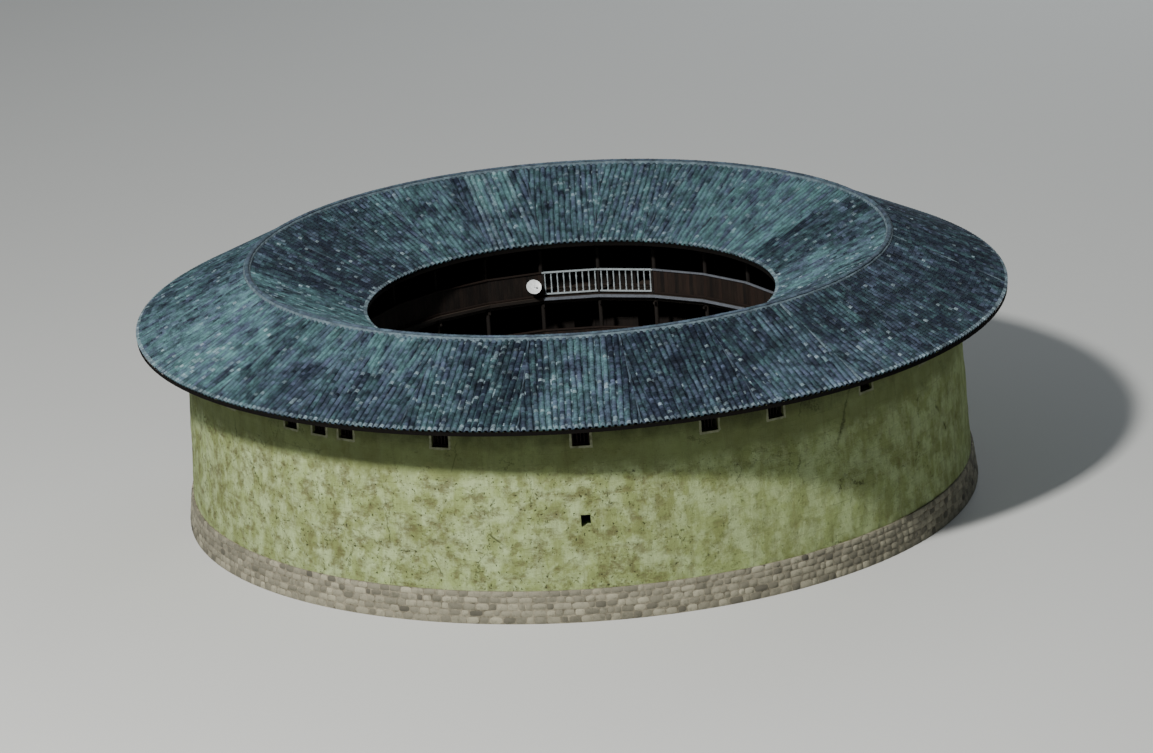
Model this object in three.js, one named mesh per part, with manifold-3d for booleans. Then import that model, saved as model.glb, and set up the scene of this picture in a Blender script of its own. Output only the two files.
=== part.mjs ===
// A round rammed-earth house of three storeys: a ring of rooms behind a thick earth wall, timber
// galleries round an open courtyard, and one tiled ridge roof over the whole ring. Sizes are in
// millimetres, +Z is up and the origin is on the ground at the middle of the courtyard.
//
// A bearing is an angle in degrees round the courtyard: 0 points along -Y, 90 along +X and 180 along
// +Y, where the gate is. The ring has equal bays, centred on whole multiples of the bay angle.
import * as THREE from "three";
import { mergeVertices } from "three/addons/utils/BufferGeometryUtils.js";
import Module from "manifold-3d";

const wasm = await Module();
wasm.setup();

// Driving sizes of the plan
const BAYS = 24;
const BAY_ANGLE = 360 / BAYS;
const EAVE_R = 17000;
const COURT_EAVE_R = 8000;
const RIDGE_R = (EAVE_R + COURT_EAVE_R) / 2;
const WALL_TOP_R = 15000;
const WALL_BASE_R = 15300;
const WALL_INNER_R = 14100;
const ROOM_FRONT_R = 10300;
const GALLERY_POST_R = 9000;
const ROUND_FACETS = 72;
const JOINT_SHIFT = 1;
const GATE_BEARING = 180;
const HALF_BAY = BAY_ANGLE / 2;
const FAR = 3 * EAVE_R;

// Driving heights
const PLATFORM_TOP = 300;
const FOOTING_TOP = 1200;
const SECOND_FLOOR = 2950;
const THIRD_FLOOR = 5400;
const FLOOR_THICK = 120;
const BEAM_HEIGHT = 200;
const TIE_BOTTOM = 7600;
const WALL_TOP = 8500;
const RIDGE_TOP = 9970;
const ROOF_SLOPE = 0.47;
const ROOF_THICK = 200;

// Clearances: a seam lies between neighbours in a ring, a seat under a piece that rests on a slope, and a
// cut runs on past the faces that it goes through
const SEAM = 0.3;
const SEAT = 0.3;
const CUT_PAST = 600;

// Finishes
const finish = (color, roughness, metalness = 0) =>
  new THREE.MeshStandardMaterial({ color, roughness, metalness });
const RAMMED_EARTH = finish(0xb3a773, 0.95);
const RUBBLE_STONE = finish(0x8b8778, 0.9);
const DRESSED_STONE = finish(0x96948a, 0.8);
const POUNDED_FLOOR = finish(0x8f8670, 0.95);
const DARK_FIR = finish(0x4a3020, 0.8);
const BROWN_BOARD = finish(0x6b4126, 0.75);
const FLOOR_BOARD = finish(0x6e5842, 0.8);
const PALE_PAINT = finish(0xbcc4ba, 0.6);
const CLAY_TILE = finish(0x46525a, 0.85);
const RIDGE_MORTAR = finish(0x7f8b88, 0.9);
const WHITE_ENAMEL = finish(0xe8ecee, 0.35);

const radians = THREE.MathUtils.degToRad;

/** The point at a bearing and a radius, at height z. */
function at(bearing, radius, z = 0) {
  const a = radians(bearing);
  return new THREE.Vector3(radius * Math.sin(a), -radius * Math.cos(a), z);
}

/** A closed three.js geometry as a solid. */
function solidOf(geometry) {
  const bare = geometry.index ? geometry.toNonIndexed() : geometry.clone();
  bare.deleteAttribute("normal");
  bare.deleteAttribute("uv");
  const merged = mergeVertices(bare, 1e-3);
  return new wasm.Manifold(
    new wasm.Mesh({
      numProp: 3,
      vertProperties: merged.attributes.position.array,
      triVerts: new Uint32Array(merged.index.array),
    }),
  );
}

/** A solid as a three.js geometry. */
function geometryOf(solid) {
  const mesh = solid.getMesh();
  const geometry = new THREE.BufferGeometry();
  geometry.setAttribute("position", new THREE.BufferAttribute(mesh.vertProperties, 3));
  geometry.setIndex(new THREE.BufferAttribute(mesh.triVerts, 1));
  geometry.computeVertexNormals();
  return geometry;
}

/** Several solids joined into one. */
function join(solids) {
  return solids.reduce((whole, piece) => whole.add(piece));
}

/** A full ring of facets: its [radius, height] corners go up the outside and down the inside. */
function ring(profile, facets = BAYS) {
  const points = [...profile, profile[0]].map(([r, z]) => new THREE.Vector2(r, z));
  const geometry = new THREE.LatheGeometry(points, facets, Math.PI / facets, 2 * Math.PI);
  return solidOf(geometry.rotateX(Math.PI / 2));
}

/** A ring with a rectangular section. */
function band(inner, outer, low, high) {
  return ring([[outer, low], [outer, high], [inner, high], [inner, low]]);
}

/** A drum round the middle of the courtyard, with its own radius at the foot and at the head. */
function drum(footR, headR, low, high, facets) {
  const geometry = new THREE.CylinderGeometry(headR, footR, high - low, facets);
  geometry.rotateX(Math.PI / 2).rotateZ(Math.PI / facets);
  return solidOf(geometry.translate(0, 0, (low + high) / 2));
}

/** A wall that is round outside and straight inside each bay. */
function roundWall(footR, headR, innerR, low, high) {
  const hollow = drum(innerR, innerR, low - 1, high + 1, BAYS);
  return drum(footR, headR, low, high, ROUND_FACETS).subtract(hollow);
}

/** The wedge of space between two bearings, drawn in on each side. */
function wedge(from, to, drawnIn = SEAM / 2) {
  const middle = (from + to) / 2;
  const corners = [at(0, 0), at(from, FAR), at(middle, FAR), at(to, FAR)];
  const shape = new THREE.Shape(corners.map((p) => new THREE.Vector2(p.x, p.y)));
  const geometry = new THREE.ExtrudeGeometry(shape, { depth: 2 * RIDGE_TOP, bevelEnabled: false });
  const inset = at(middle, drawnIn / Math.sin(radians((to - from) / 2)));
  return solidOf(geometry.translate(inset.x, inset.y, -RIDGE_TOP / 2));
}

/** A box that lies radially: its width is along the ring, and it spans two radii and two heights. */
function radialBox(bearing, width, innerR, outerR, low, high) {
  const geometry = new THREE.BoxGeometry(width, outerR - innerR, high - low);
  geometry.translate(0, -(innerR + outerR) / 2, (low + high) / 2);
  return solidOf(geometry.rotateZ(radians(bearing)));
}

/** A box from its lowest corner to its highest. */
function box(low, high) {
  const size = new THREE.Vector3().subVectors(high, low);
  const middle = new THREE.Vector3().addVectors(high, low).multiplyScalar(0.5);
  const geometry = new THREE.BoxGeometry(size.x, size.y, size.z);
  return solidOf(geometry.translate(middle.x, middle.y, middle.z));
}

/** An upright round post with a given number of sides. */
function post(foot, radius, low, high, sides) {
  const geometry = new THREE.CylinderGeometry(radius, radius, high - low, sides);
  geometry.rotateX(Math.PI / 2).translate(foot.x, foot.y, (low + high) / 2);
  return solidOf(geometry);
}

const group = new THREE.Group();

/** Adds a solid to the house as a named mesh. */
function place(name, solid, material) {
  const mesh = new THREE.Mesh(geometryOf(solid), material);
  mesh.name = name;
  group.add(mesh);
}

/** Equal wedges of the ring that start a little past a bay line. */
function sectors(count, shift) {
  const angle = 360 / count;
  const starts = Array.from({ length: count }, (_, i) => HALF_BAY + shift + i * angle);
  return starts.map((from) => wedge(from, from + angle));
}

const bayCentres = Array.from({ length: BAYS }, (_, i) => i * BAY_ANGLE);
const bayLines = bayCentres.map((b) => b + HALF_BAY);

/** The height of the roof's underside over a radius, along a bay line. */
function roofUnderside(radius) {
  return RIDGE_TOP - ROOF_THICK - ROOF_SLOPE * Math.abs(radius - RIDGE_R);
}

/** The height of the roof's top over a radius, along a bay line. */
function roofTop(radius) {
  return roofUnderside(radius) + ROOF_THICK;
}

// The gate: a stone portal through the wall, with its leaves folded back inside it
const PORTAL_HALF = 1150;
const PORTAL_TOP = 2800;
const PORTAL_BACK = 14000 + SEAM;
const PORTAL_FRONT = 15500;
const GATE_HALF = 800;
const GATE_HEAD = 2550;
const REBATE_HALF = 950;
const REBATE_FRONT = 15050;
const STEP_DEPTH = 350;
const STEP_HEIGHT = 150;
const LEAF_WIDTH = 840;
const LEAF_THICK = 70;
const LEAF_PIVOT_R = 38;
const LEAF_SIDE_GAP = 5;
const LEAF_HEAD_GAP = 20;
const STILE_SIDES = 12;

/** The space that the portal takes out of the wall and its footing, up to a height. */
function gateGap(half, top) {
  return box(new THREE.Vector3(-half, 0, -PLATFORM_TOP), new THREE.Vector3(half, FAR, top));
}

function makePortal() {
  const outline = box(
    new THREE.Vector3(-PORTAL_HALF, PORTAL_BACK, 0),
    new THREE.Vector3(PORTAL_HALF, PORTAL_FRONT, PORTAL_TOP),
  );
  const doorway = box(
    new THREE.Vector3(-GATE_HALF, 0, PLATFORM_TOP),
    new THREE.Vector3(GATE_HALF, FAR, GATE_HEAD),
  );
  const rebate = box(
    new THREE.Vector3(-REBATE_HALF, 0, PLATFORM_TOP),
    new THREE.Vector3(REBATE_HALF, REBATE_FRONT, GATE_HEAD),
  );
  const step = box(
    new THREE.Vector3(-REBATE_HALF, REBATE_FRONT, 0),
    new THREE.Vector3(REBATE_HALF, PORTAL_FRONT + STEP_DEPTH, STEP_HEIGHT),
  );
  place("gate_portal", outline.subtract(doorway).subtract(rebate).add(step), DRESSED_STONE);
}

function makeLeaves() {
  const pivotY = REBATE_FRONT - LEAF_PIVOT_R - LEAF_SIDE_GAP;
  const faceX = REBATE_HALF - LEAF_PIVOT_R - LEAF_SIDE_GAP;
  const foot = PLATFORM_TOP + SEAT;
  for (const [name, side] of [["gate_leaf_left", 1], ["gate_leaf_right", -1]]) {
    const inner = side * (faceX - LEAF_THICK / 2);
    const outer = side * (faceX + LEAF_THICK / 2);
    const board = box(
      new THREE.Vector3(Math.min(inner, outer), pivotY - LEAF_WIDTH, foot),
      new THREE.Vector3(Math.max(inner, outer), pivotY, GATE_HEAD - LEAF_HEAD_GAP),
    );
    const pivot = new THREE.Vector3(side * faceX, pivotY, 0);
    const stile = post(pivot, LEAF_PIVOT_R, foot, GATE_HEAD - SEAT, STILE_SIDES);
    place(name, board.add(stile), DARK_FIR);
  }
}

// The stone footing and the floor platform inside it
const FOOTING_BASE_R = 15550;
const FOOTING_TOP_R = 15400;
const FOOTING_INNER_R = 14000;
const FOOTING_SEAMS = [82.5, 177, 183, 262.5, 352.5, 442.5];
const PLATFORM_EDGE_R = 8600;

function makeFooting() {
  const round = roundWall(FOOTING_BASE_R, FOOTING_TOP_R, FOOTING_INNER_R, 0, FOOTING_TOP);
  const whole = round.subtract(gateGap(PORTAL_HALF + SEAM, PORTAL_TOP));
  let count = 0;
  for (let i = 1; i < FOOTING_SEAMS.length; i++) {
    const [from, to] = [FOOTING_SEAMS[i - 1], FOOTING_SEAMS[i]];
    if (from < GATE_BEARING && to > GATE_BEARING) continue;
    count += 1;
    place(`footing_${count}`, whole.intersect(wedge(from, to)), RUBBLE_STONE);
  }
  const platform = band(PLATFORM_EDGE_R, FOOTING_INNER_R - SEAM, 0, PLATFORM_TOP);
  place("ground_platform", platform, POUNDED_FLOOR);
}

// Window openings in the earth wall: [bearing, width, sill, head]
const WINDOW_WIDTH = 650;
const WINDOW_SILL = 6600;
const WINDOW_HEAD = 7450;
const LOOPHOLE_WIDTH = 350;
const LOOPHOLE_SILL = 3550;
const LOOPHOLE_HEAD = 4000;
const FRONT_WINDOWS = [-39.5, -34.7, -19.8, 0, 18.2, 28.4];
const OTHER_WINDOWS = bayCentres.filter((b) => b >= 45 && b <= 315);
const LOOPHOLES = [0, 90, 180, 270];
const POCKET_WIDTH = 180 + 2 * SEAM;
const WALL_SEAMS = [-71.25, -26.25, 11.25, 56.25, 101.25, 146.25, 177, 183, 236.25, 288.75];

function makeWall() {
  const through = [WALL_INNER_R - CUT_PAST, WALL_BASE_R + CUT_PAST];
  const holes = [
    ...[...FRONT_WINDOWS, ...OTHER_WINDOWS].map((b) =>
      radialBox(b, WINDOW_WIDTH, ...through, WINDOW_SILL, WINDOW_HEAD),
    ),
    ...LOOPHOLES.map((b) =>
      radialBox(b, LOOPHOLE_WIDTH, ...through, LOOPHOLE_SILL, LOOPHOLE_HEAD),
    ),
    ...bayLines.map((b) =>
      radialBox(b, POCKET_WIDTH, ...through, TIE_BOTTOM, TIE_BOTTOM + BEAM_HEIGHT + SEAT),
    ),
  ];
  const whole = roundWall(WALL_BASE_R, WALL_TOP_R, WALL_INNER_R, FOOTING_TOP, WALL_TOP);
  const shell = whole.subtract(join(holes));
  const round = shell.subtract(gateGap(PORTAL_HALF + SEAM, 2 * WALL_TOP));
  let count = 0;
  for (let i = 1; i < WALL_SEAMS.length; i++) {
    const [from, to] = [WALL_SEAMS[i - 1], WALL_SEAMS[i]];
    if (from < GATE_BEARING && to > GATE_BEARING) continue;
    count += 1;
    place(`earth_wall_${count}`, round.intersect(wedge(from, to)), RAMMED_EARTH);
  }
  const overGate = box(
    new THREE.Vector3(-PORTAL_HALF, 0, PORTAL_TOP),
    new THREE.Vector3(PORTAL_HALF, FAR, 2 * WALL_TOP),
  );
  place("earth_wall_over_gate", shell.intersect(overGate), RAMMED_EARTH);
}

// Gallery frames: on each storey, a ring beam on one post at every bay line, jointed just past a post
const FRAME_SECTORS = 3;
const POST_R = 90;
const POST_SIDES = 6;
const RING_BEAM_WIDTH = 160;
const STOREYS = [
  { name: "ground", floor: PLATFORM_TOP, head: SECOND_FLOOR - FLOOR_THICK },
  { name: "second", floor: SECOND_FLOOR, head: THIRD_FLOOR - FLOOR_THICK },
  { name: "third", floor: THIRD_FLOOR, head: TIE_BOTTOM },
];

function makeGalleryFrames() {
  for (const { name, floor, head } of STOREYS) {
    const beam = band(
      GALLERY_POST_R - RING_BEAM_WIDTH / 2,
      GALLERY_POST_R + RING_BEAM_WIDTH / 2,
      head - BEAM_HEIGHT,
      head,
    );
    const posts = bayLines.map((b) =>
      post(at(b, GALLERY_POST_R), POST_R, floor, head - BEAM_HEIGHT / 2, POST_SIDES),
    );
    const frame = join([beam, ...posts]);
    sectors(FRAME_SECTORS, JOINT_SHIFT).forEach((sector, i) =>
      place(`gallery_${name}_${i + 1}`, frame.intersect(sector), DARK_FIR),
    );
  }
}

// Timber floors of the upper storeys, from the gallery edge to the wall
const FLOOR_EDGE_R = 8700;

function makeFloors() {
  for (const { name, floor } of STOREYS.slice(1)) {
    const boards = band(FLOOR_EDGE_R, WALL_INNER_R - SEAM, floor - FLOOR_THICK, floor);
    place(`floor_${name}`, boards, FLOOR_BOARD);
  }
}

// Room fronts: a boarded ring on each storey, with a door and a window in every bay
const FRONT_SECTORS = 3;
const FRONT_THICK = 80;
const DOOR_WIDTH = 800;
const DOOR_HEIGHT = 1900;
const ROOM_WINDOW_WIDTH = 700;
const ROOM_WINDOW_SILL = 1000;
const DOOR_OFFSET = -460;
const ROOM_WINDOW_OFFSET = 560;
const HALL_WIDTH = 2200;

/** A radial box moved sideways along the ring from its bearing. */
function offsetBox(bearing, offset, width, low, high) {
  const geometry = new THREE.BoxGeometry(width, CUT_PAST, high - low);
  geometry.translate(offset, -ROOM_FRONT_R, (low + high) / 2);
  return solidOf(geometry.rotateZ(radians(bearing)));
}

function makeRoomFronts() {
  for (const { name, floor, head } of STOREYS) {
    const doorHead = floor + DOOR_HEIGHT;
    const holes = bayCentres.flatMap((b) => {
      if (name === "ground" && b === GATE_BEARING)
        return [offsetBox(b, 0, HALL_WIDTH, floor - 1, GATE_HEAD)];
      return [
        offsetBox(b, DOOR_OFFSET, DOOR_WIDTH, floor - 1, doorHead),
        offsetBox(b, ROOM_WINDOW_OFFSET, ROOM_WINDOW_WIDTH, floor + ROOM_WINDOW_SILL, doorHead),
      ];
    });
    const boards = band(ROOM_FRONT_R - FRONT_THICK / 2, ROOM_FRONT_R + FRONT_THICK / 2, floor, head);
    const front = boards.subtract(join(holes));
    sectors(FRONT_SECTORS, 0).forEach((sector, i) =>
      place(`room_front_${name}_${i + 1}`, front.intersect(sector), BROWN_BOARD),
    );
  }
}

// Gallery parapets: boards under a rail, with pale balusters in two bays of the third storey
const PARAPET_R = 8860;
const PARAPET_THICK = 40;
const RAIL_IN_R = 8790;
const RAIL_OUT_R = 8895;
const RAIL_LOW = 1000;
const RAIL_HIGH = 1060;
const PALE_FROM = GATE_BEARING - 1.5 * BAY_ANGLE;
const PALE_TO = GATE_BEARING + 0.5 * BAY_ANGLE;
const BALUSTERS_PER_BAY = 9;
const BALUSTER_SIZE = 40;
const NEWEL_SIZE = 90;
const NEWEL_INSET = 5;
const FOOT_RAIL_LOW = 90;
const FOOT_RAIL_HIGH = 150;
const FOOT_RAIL_INSET = 20;

/** The boards of a storey's parapet with the rail on them, all round. */
function boardedParapet(floor) {
  return ring([
    [PARAPET_R + PARAPET_THICK / 2, floor],
    [PARAPET_R + PARAPET_THICK / 2, floor + RAIL_LOW],
    [RAIL_OUT_R, floor + RAIL_LOW],
    [RAIL_OUT_R, floor + RAIL_HIGH],
    [RAIL_IN_R, floor + RAIL_HIGH],
    [RAIL_IN_R, floor + RAIL_LOW],
    [PARAPET_R - PARAPET_THICK / 2, floor + RAIL_LOW],
    [PARAPET_R - PARAPET_THICK / 2, floor],
  ]);
}

/** The evenly spaced balusters of one bay of the third storey. */
function balustersOf(bearing) {
  const middleR = PARAPET_R * Math.cos(radians(HALF_BAY));
  const bayWidth = 2 * PARAPET_R * Math.sin(radians(HALF_BAY));
  return Array.from({ length: BALUSTERS_PER_BAY }, (_, i) => {
    const tall = RAIL_LOW - FOOT_RAIL_LOW;
    const geometry = new THREE.BoxGeometry(BALUSTER_SIZE, BALUSTER_SIZE, tall);
    const along = ((i + 0.5) / BALUSTERS_PER_BAY - 0.5) * bayWidth;
    geometry.translate(along, -middleR, THIRD_FLOOR + (RAIL_LOW + FOOT_RAIL_HIGH) / 2);
    return solidOf(geometry.rotateZ(radians(bearing)));
  });
}

function makeParapets() {
  place("parapet_second", boardedParapet(SECOND_FLOOR), BROWN_BOARD);
  const rest = boardedParapet(THIRD_FLOOR).subtract(wedge(PALE_FROM, PALE_TO, -SEAM / 2));
  place("parapet_third", rest, BROWN_BOARD);
}

function makeBalustrade() {
  const [footIn, footOut] = [RAIL_IN_R + FOOT_RAIL_INSET, RAIL_OUT_R - FOOT_RAIL_INSET];
  const paleBays = wedge(PALE_FROM, PALE_TO);
  const rails = [
    band(RAIL_IN_R, RAIL_OUT_R, THIRD_FLOOR + RAIL_LOW, THIRD_FLOOR + RAIL_HIGH),
    band(footIn, footOut, THIRD_FLOOR + FOOT_RAIL_LOW, THIRD_FLOOR + FOOT_RAIL_HIGH),
  ].map((rail) => rail.intersect(paleBays));
  const balusters = [GATE_BEARING - BAY_ANGLE, GATE_BEARING].flatMap(balustersOf);
  const inset = THREE.MathUtils.radToDeg((NEWEL_SIZE / 2 + SEAM) / PARAPET_R);
  const [newelIn, newelOut] = [RAIL_IN_R + NEWEL_INSET, RAIL_OUT_R - NEWEL_INSET];
  const newels = [PALE_FROM + inset, GATE_BEARING - HALF_BAY, PALE_TO - inset].map((b) =>
    radialBox(b, NEWEL_SIZE, newelIn, newelOut, THIRD_FLOOR, THIRD_FLOOR + RAIL_HIGH),
  );
  place("balustrade_third", join([...rails, ...balusters, ...newels]), PALE_PAINT);
}

// The roof frame: a tie beam and a king post at every bay line, and three purlin rings that join them
const ROOF_FRAME_SECTORS = 8;
const TIE_WIDTH = 180;
const TIE_IN_R = 8350;
const TIE_OUT_R = 16650;
const KING_POST_SIZE = 160;
const PURLIN_WIDTH = 200;
const PURLIN_BITE = 50;
const PURLIN_INSET = 450;
const RIDGE_PURLIN_LOW = 9550;
const KING_FOOT_BITE = 10;
const KING_HEAD_BITE = 20;

/** The spot where a purlin's top meets the roof's underside. */
function underRoof(radius) {
  return [radius, roofUnderside(radius) - SEAT];
}

/** A purlin ring that lies on the tie beams near an eave. */
function eavePurlin(middle) {
  const [inner, outer] = [middle - PURLIN_WIDTH / 2, middle + PURLIN_WIDTH / 2];
  const foot = TIE_BOTTOM + BEAM_HEIGHT - PURLIN_BITE;
  return ring([[outer, foot], underRoof(outer), underRoof(inner), [inner, foot]], ROUND_FACETS);
}

/** The purlin ring on the king posts. */
function ridgePurlin() {
  const [inner, outer] = [RIDGE_R - PURLIN_WIDTH / 2, RIDGE_R + PURLIN_WIDTH / 2];
  return ring(
    [
      [outer, RIDGE_PURLIN_LOW],
      underRoof(outer),
      underRoof(RIDGE_R),
      underRoof(inner),
      [inner, RIDGE_PURLIN_LOW],
    ],
    ROUND_FACETS,
  );
}

function makeRoofFrame() {
  const tieTop = TIE_BOTTOM + BEAM_HEIGHT;
  const ties = bayLines.map((b) =>
    radialBox(b, TIE_WIDTH, TIE_IN_R, TIE_OUT_R, TIE_BOTTOM, tieTop),
  );
  const half = KING_POST_SIZE / 2;
  const [kingFoot, kingHead] = [tieTop - KING_FOOT_BITE, RIDGE_PURLIN_LOW + KING_HEAD_BITE];
  const kings = bayLines.map((b) =>
    radialBox(b, KING_POST_SIZE, RIDGE_R - half, RIDGE_R + half, kingFoot, kingHead),
  );
  const purlins = [
    eavePurlin(EAVE_R - PURLIN_INSET),
    ridgePurlin(),
    eavePurlin(COURT_EAVE_R + PURLIN_INSET),
  ];
  const frame = join([...purlins, ...ties, ...kings]);
  sectors(ROOF_FRAME_SECTORS, JOINT_SHIFT).forEach((sector, i) =>
    place(`roof_frame_${i + 1}`, frame.intersect(sector), DARK_FIR),
  );
}

// The mortared ridge on top of the two slopes
const RIDGE_CAP_HALF = 150;
const RIDGE_CAP_CROWN = 85;
const RIDGE_CAP_RISE = 140;

// The tiled roof: an outer and an inner slope, each in sectors. Its tile rows run straight down each bay, and
// every fifth one stands on the slopes as a rib
const ROOF_SECTORS = 4;
const ROW_SPACING = 1175;
const ROW_OFFSETS = [-1.5, -0.5, 0.5, 1.5].map((i) => i * ROW_SPACING);
const ROW_HEIGHT = 70;
const ROW_BITE = 40;
const ROW_FOOT_HALF = 100;
const ROW_HEAD_HALF = 50;
const ROW_END_GAP = 40;
const SHORTEST_ROW = 1000;

/** A rib that runs straight up a slope beside a bay's middle, between two distances from the centre. */
function tileRow(bearing, along, near, far) {
  const geometry = new THREE.BoxGeometry(2, 2, 2);
  const corners = geometry.attributes.position;
  for (let i = 0; i < corners.count; i++) {
    const distance = corners.getY(i) < 0 ? far : near;
    const isHead = corners.getZ(i) > 0;
    const x = along + corners.getX(i) * (isHead ? ROW_HEAD_HALF : ROW_FOOT_HALF);
    const surface = roofTop(Math.hypot(along, distance));
    corners.setXYZ(i, x, -distance, surface + (isHead ? ROW_HEIGHT : -ROW_BITE));
  }
  return solidOf(geometry.rotateZ(radians(bearing)));
}

/** The ribs of one slope, which end short of its edges, its ridge and its joints between bays. */
function tileRows(innerR, outerR) {
  const distanceAt = (radius, along) => Math.sqrt(radius ** 2 - along ** 2);
  return bayCentres.flatMap((b) =>
    ROW_OFFSETS.flatMap((along) => {
      const atJoint = (Math.abs(along) + ROW_FOOT_HALF) / Math.tan(radians(HALF_BAY));
      const near = Math.max(distanceAt(innerR, along), atJoint) + ROW_END_GAP;
      const far = distanceAt(outerR, along) - ROW_END_GAP;
      return far - near > SHORTEST_ROW ? [tileRow(b, along, near, far)] : [];
    }),
  );
}

/** A slope of the roof between two radii, with its ribs. */
function slope(innerR, outerR, ribs) {
  const slab = ring(
    [
      [outerR, roofUnderside(outerR)],
      [outerR, roofTop(outerR)],
      [innerR, roofTop(innerR)],
      [innerR, roofUnderside(innerR)],
    ],
    ROUND_FACETS,
  );
  return join([slab, ...ribs]);
}

function makeRoof() {
  const outerRows = tileRows(RIDGE_R + RIDGE_CAP_HALF, EAVE_R);
  const innerRows = tileRows(COURT_EAVE_R, RIDGE_R - RIDGE_CAP_HALF);
  const outer = slope(RIDGE_R + SEAM, EAVE_R, outerRows);
  const inner = slope(COURT_EAVE_R, RIDGE_R, innerRows);
  sectors(ROOF_SECTORS, 0).forEach((sector, i) => {
    place(`roof_outer_${i + 1}`, outer.intersect(sector), CLAY_TILE);
    place(`roof_inner_${i + 1}`, inner.intersect(sector), CLAY_TILE);
  });
}

function makeRidge() {
  const onRoof = (radius) => [radius, roofTop(radius) + SEAT];
  const crown = RIDGE_TOP + RIDGE_CAP_RISE;
  const cap = ring(
    [
      onRoof(RIDGE_R),
      onRoof(RIDGE_R + RIDGE_CAP_HALF),
      [RIDGE_R + RIDGE_CAP_CROWN, crown],
      [RIDGE_R - RIDGE_CAP_CROWN, crown],
      onRoof(RIDGE_R - RIDGE_CAP_HALF),
    ],
    ROUND_FACETS,
  );
  place("ridge_cap", cap, RIDGE_MORTAR);
}

// A dish aerial on the courtyard side of the third-floor parapet, on an arm from its boards
const DISH_BAY = GATE_BEARING + BAY_ANGLE;
const DISH_ALONG = -700;
const DISH_R = 310;
const DISH_SIDES = 16;
const DISH_DEPTH = 65;
const DISH_SHELL = 8;
const DISH_STEPS = 4;
const DISH_ELEVATION = 35;
const DISH_REACH = 330;
const DISH_HEIGHT = THIRD_FLOOR + 560;
const DISH_HUB_R = 45;
const DISH_HUB_LENGTH = 60;
const DISH_ARM = 40;
const DISH_PLATE = 140;
const DISH_PLATE_THICK = 8;
const FEED_REACH = 230;
const FEED_ROD_R = 9;
const FEED_R = 38;
const FEED_LENGTH = 60;
const FITTING_SIDES = 8;

/** The bowl, hub and feed of the dish, aimed along +Y from the bowl's middle. */
function dishHead() {
  const steps = Array.from({ length: DISH_STEPS + 1 }, (_, i) => i / DISH_STEPS);
  const face = steps.map((t) => new THREE.Vector2(DISH_R * t, DISH_DEPTH * t * t));
  const back = face.map((p) => new THREE.Vector2(p.x, p.y - DISH_SHELL));
  const tube = (radius, length) =>
    new THREE.CylinderGeometry(radius, radius, length, FITTING_SIDES);
  return [
    new THREE.LatheGeometry([...back, ...face.reverse()], DISH_SIDES),
    tube(FEED_ROD_R, FEED_REACH).translate(0, (FEED_REACH - DISH_SHELL) / 2, 0),
    tube(FEED_R, FEED_LENGTH).translate(0, FEED_REACH, 0),
    tube(DISH_HUB_R, DISH_HUB_LENGTH).translate(0, -(DISH_HUB_LENGTH + DISH_SHELL) / 2, 0),
  ];
}

function makeDish() {
  const boardFace = (PARAPET_R - PARAPET_THICK / 2) * Math.cos(radians(HALF_BAY)) - SEAM;
  const head = dishHead().map((geometry) => {
    geometry.rotateX(radians(DISH_ELEVATION));
    return geometry.translate(0, DISH_REACH - boardFace, DISH_HEIGHT);
  });
  const armZ = DISH_HEIGHT - DISH_HUB_LENGTH / 4 - DISH_ARM / 2;
  const armLength = DISH_REACH - DISH_HUB_R;
  const arm = new THREE.BoxGeometry(DISH_ARM, armLength, DISH_ARM);
  const plate = new THREE.BoxGeometry(DISH_PLATE, DISH_PLATE_THICK, DISH_PLATE);
  arm.translate(0, armLength / 2 - boardFace, armZ);
  plate.translate(0, DISH_PLATE_THICK / 2 - boardFace, armZ);
  const solids = [...head, arm, plate].map((geometry) =>
    solidOf(geometry.translate(DISH_ALONG, 0, 0).rotateZ(radians(DISH_BAY))),
  );
  place("dish_aerial", join(solids), WHITE_ENAMEL);
}

makeFooting();
makeWall();
makePortal();
makeLeaves();
makeGalleryFrames();
makeFloors();
makeRoomFronts();
makeParapets();
makeBalustrade();
makeRoofFrame();
makeRoof();
makeRidge();
makeDish();

export default group;
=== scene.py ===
"""Looks of the round earth house: tiled ring roof, rammed-earth wall, timber galleries, camera and light.

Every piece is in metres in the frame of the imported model. A bearing is an angle in degrees round the
courtyard: 0 points along -Y, 90 along +X and 180 along +Y, where the gate is. Shapes are first laid out at
bearing 0, with x along the ring, y towards the courtyard's middle and z up, and are then turned into place.
"""

import logging
from dataclasses import dataclass, field
from enum import Enum
from functools import partial
from math import asin, atan, ceil, cos, degrees, pi, radians, sin, tan
from typing import Any, Callable, Sequence

import bpy
import numpy as np
from mathutils import Matrix, Vector, noise


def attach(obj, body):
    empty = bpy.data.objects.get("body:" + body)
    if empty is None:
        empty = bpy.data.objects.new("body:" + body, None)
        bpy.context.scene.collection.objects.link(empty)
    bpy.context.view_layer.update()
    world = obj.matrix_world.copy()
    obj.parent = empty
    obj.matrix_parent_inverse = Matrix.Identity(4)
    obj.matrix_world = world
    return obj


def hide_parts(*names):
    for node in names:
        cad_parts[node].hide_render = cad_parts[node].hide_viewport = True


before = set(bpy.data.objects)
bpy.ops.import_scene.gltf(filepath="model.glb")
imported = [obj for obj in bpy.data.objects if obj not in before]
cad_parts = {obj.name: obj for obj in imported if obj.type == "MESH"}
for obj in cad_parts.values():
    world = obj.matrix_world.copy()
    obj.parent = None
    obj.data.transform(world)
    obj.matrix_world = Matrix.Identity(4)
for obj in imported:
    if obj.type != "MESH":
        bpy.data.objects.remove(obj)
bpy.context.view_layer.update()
LOG = logging.getLogger("round_house")
MM_PER_M = 1000.0
ADDER = Callable[..., Any]
Pair = tuple[float, float]
Triple = tuple[float, float, float]
Array = np.ndarray


class Grain(Enum):
    """The way that the grain of a piece of timber runs, as an axis of its own box."""

    ALONG = 0
    INWARD = 1
    UP = 2


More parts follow.
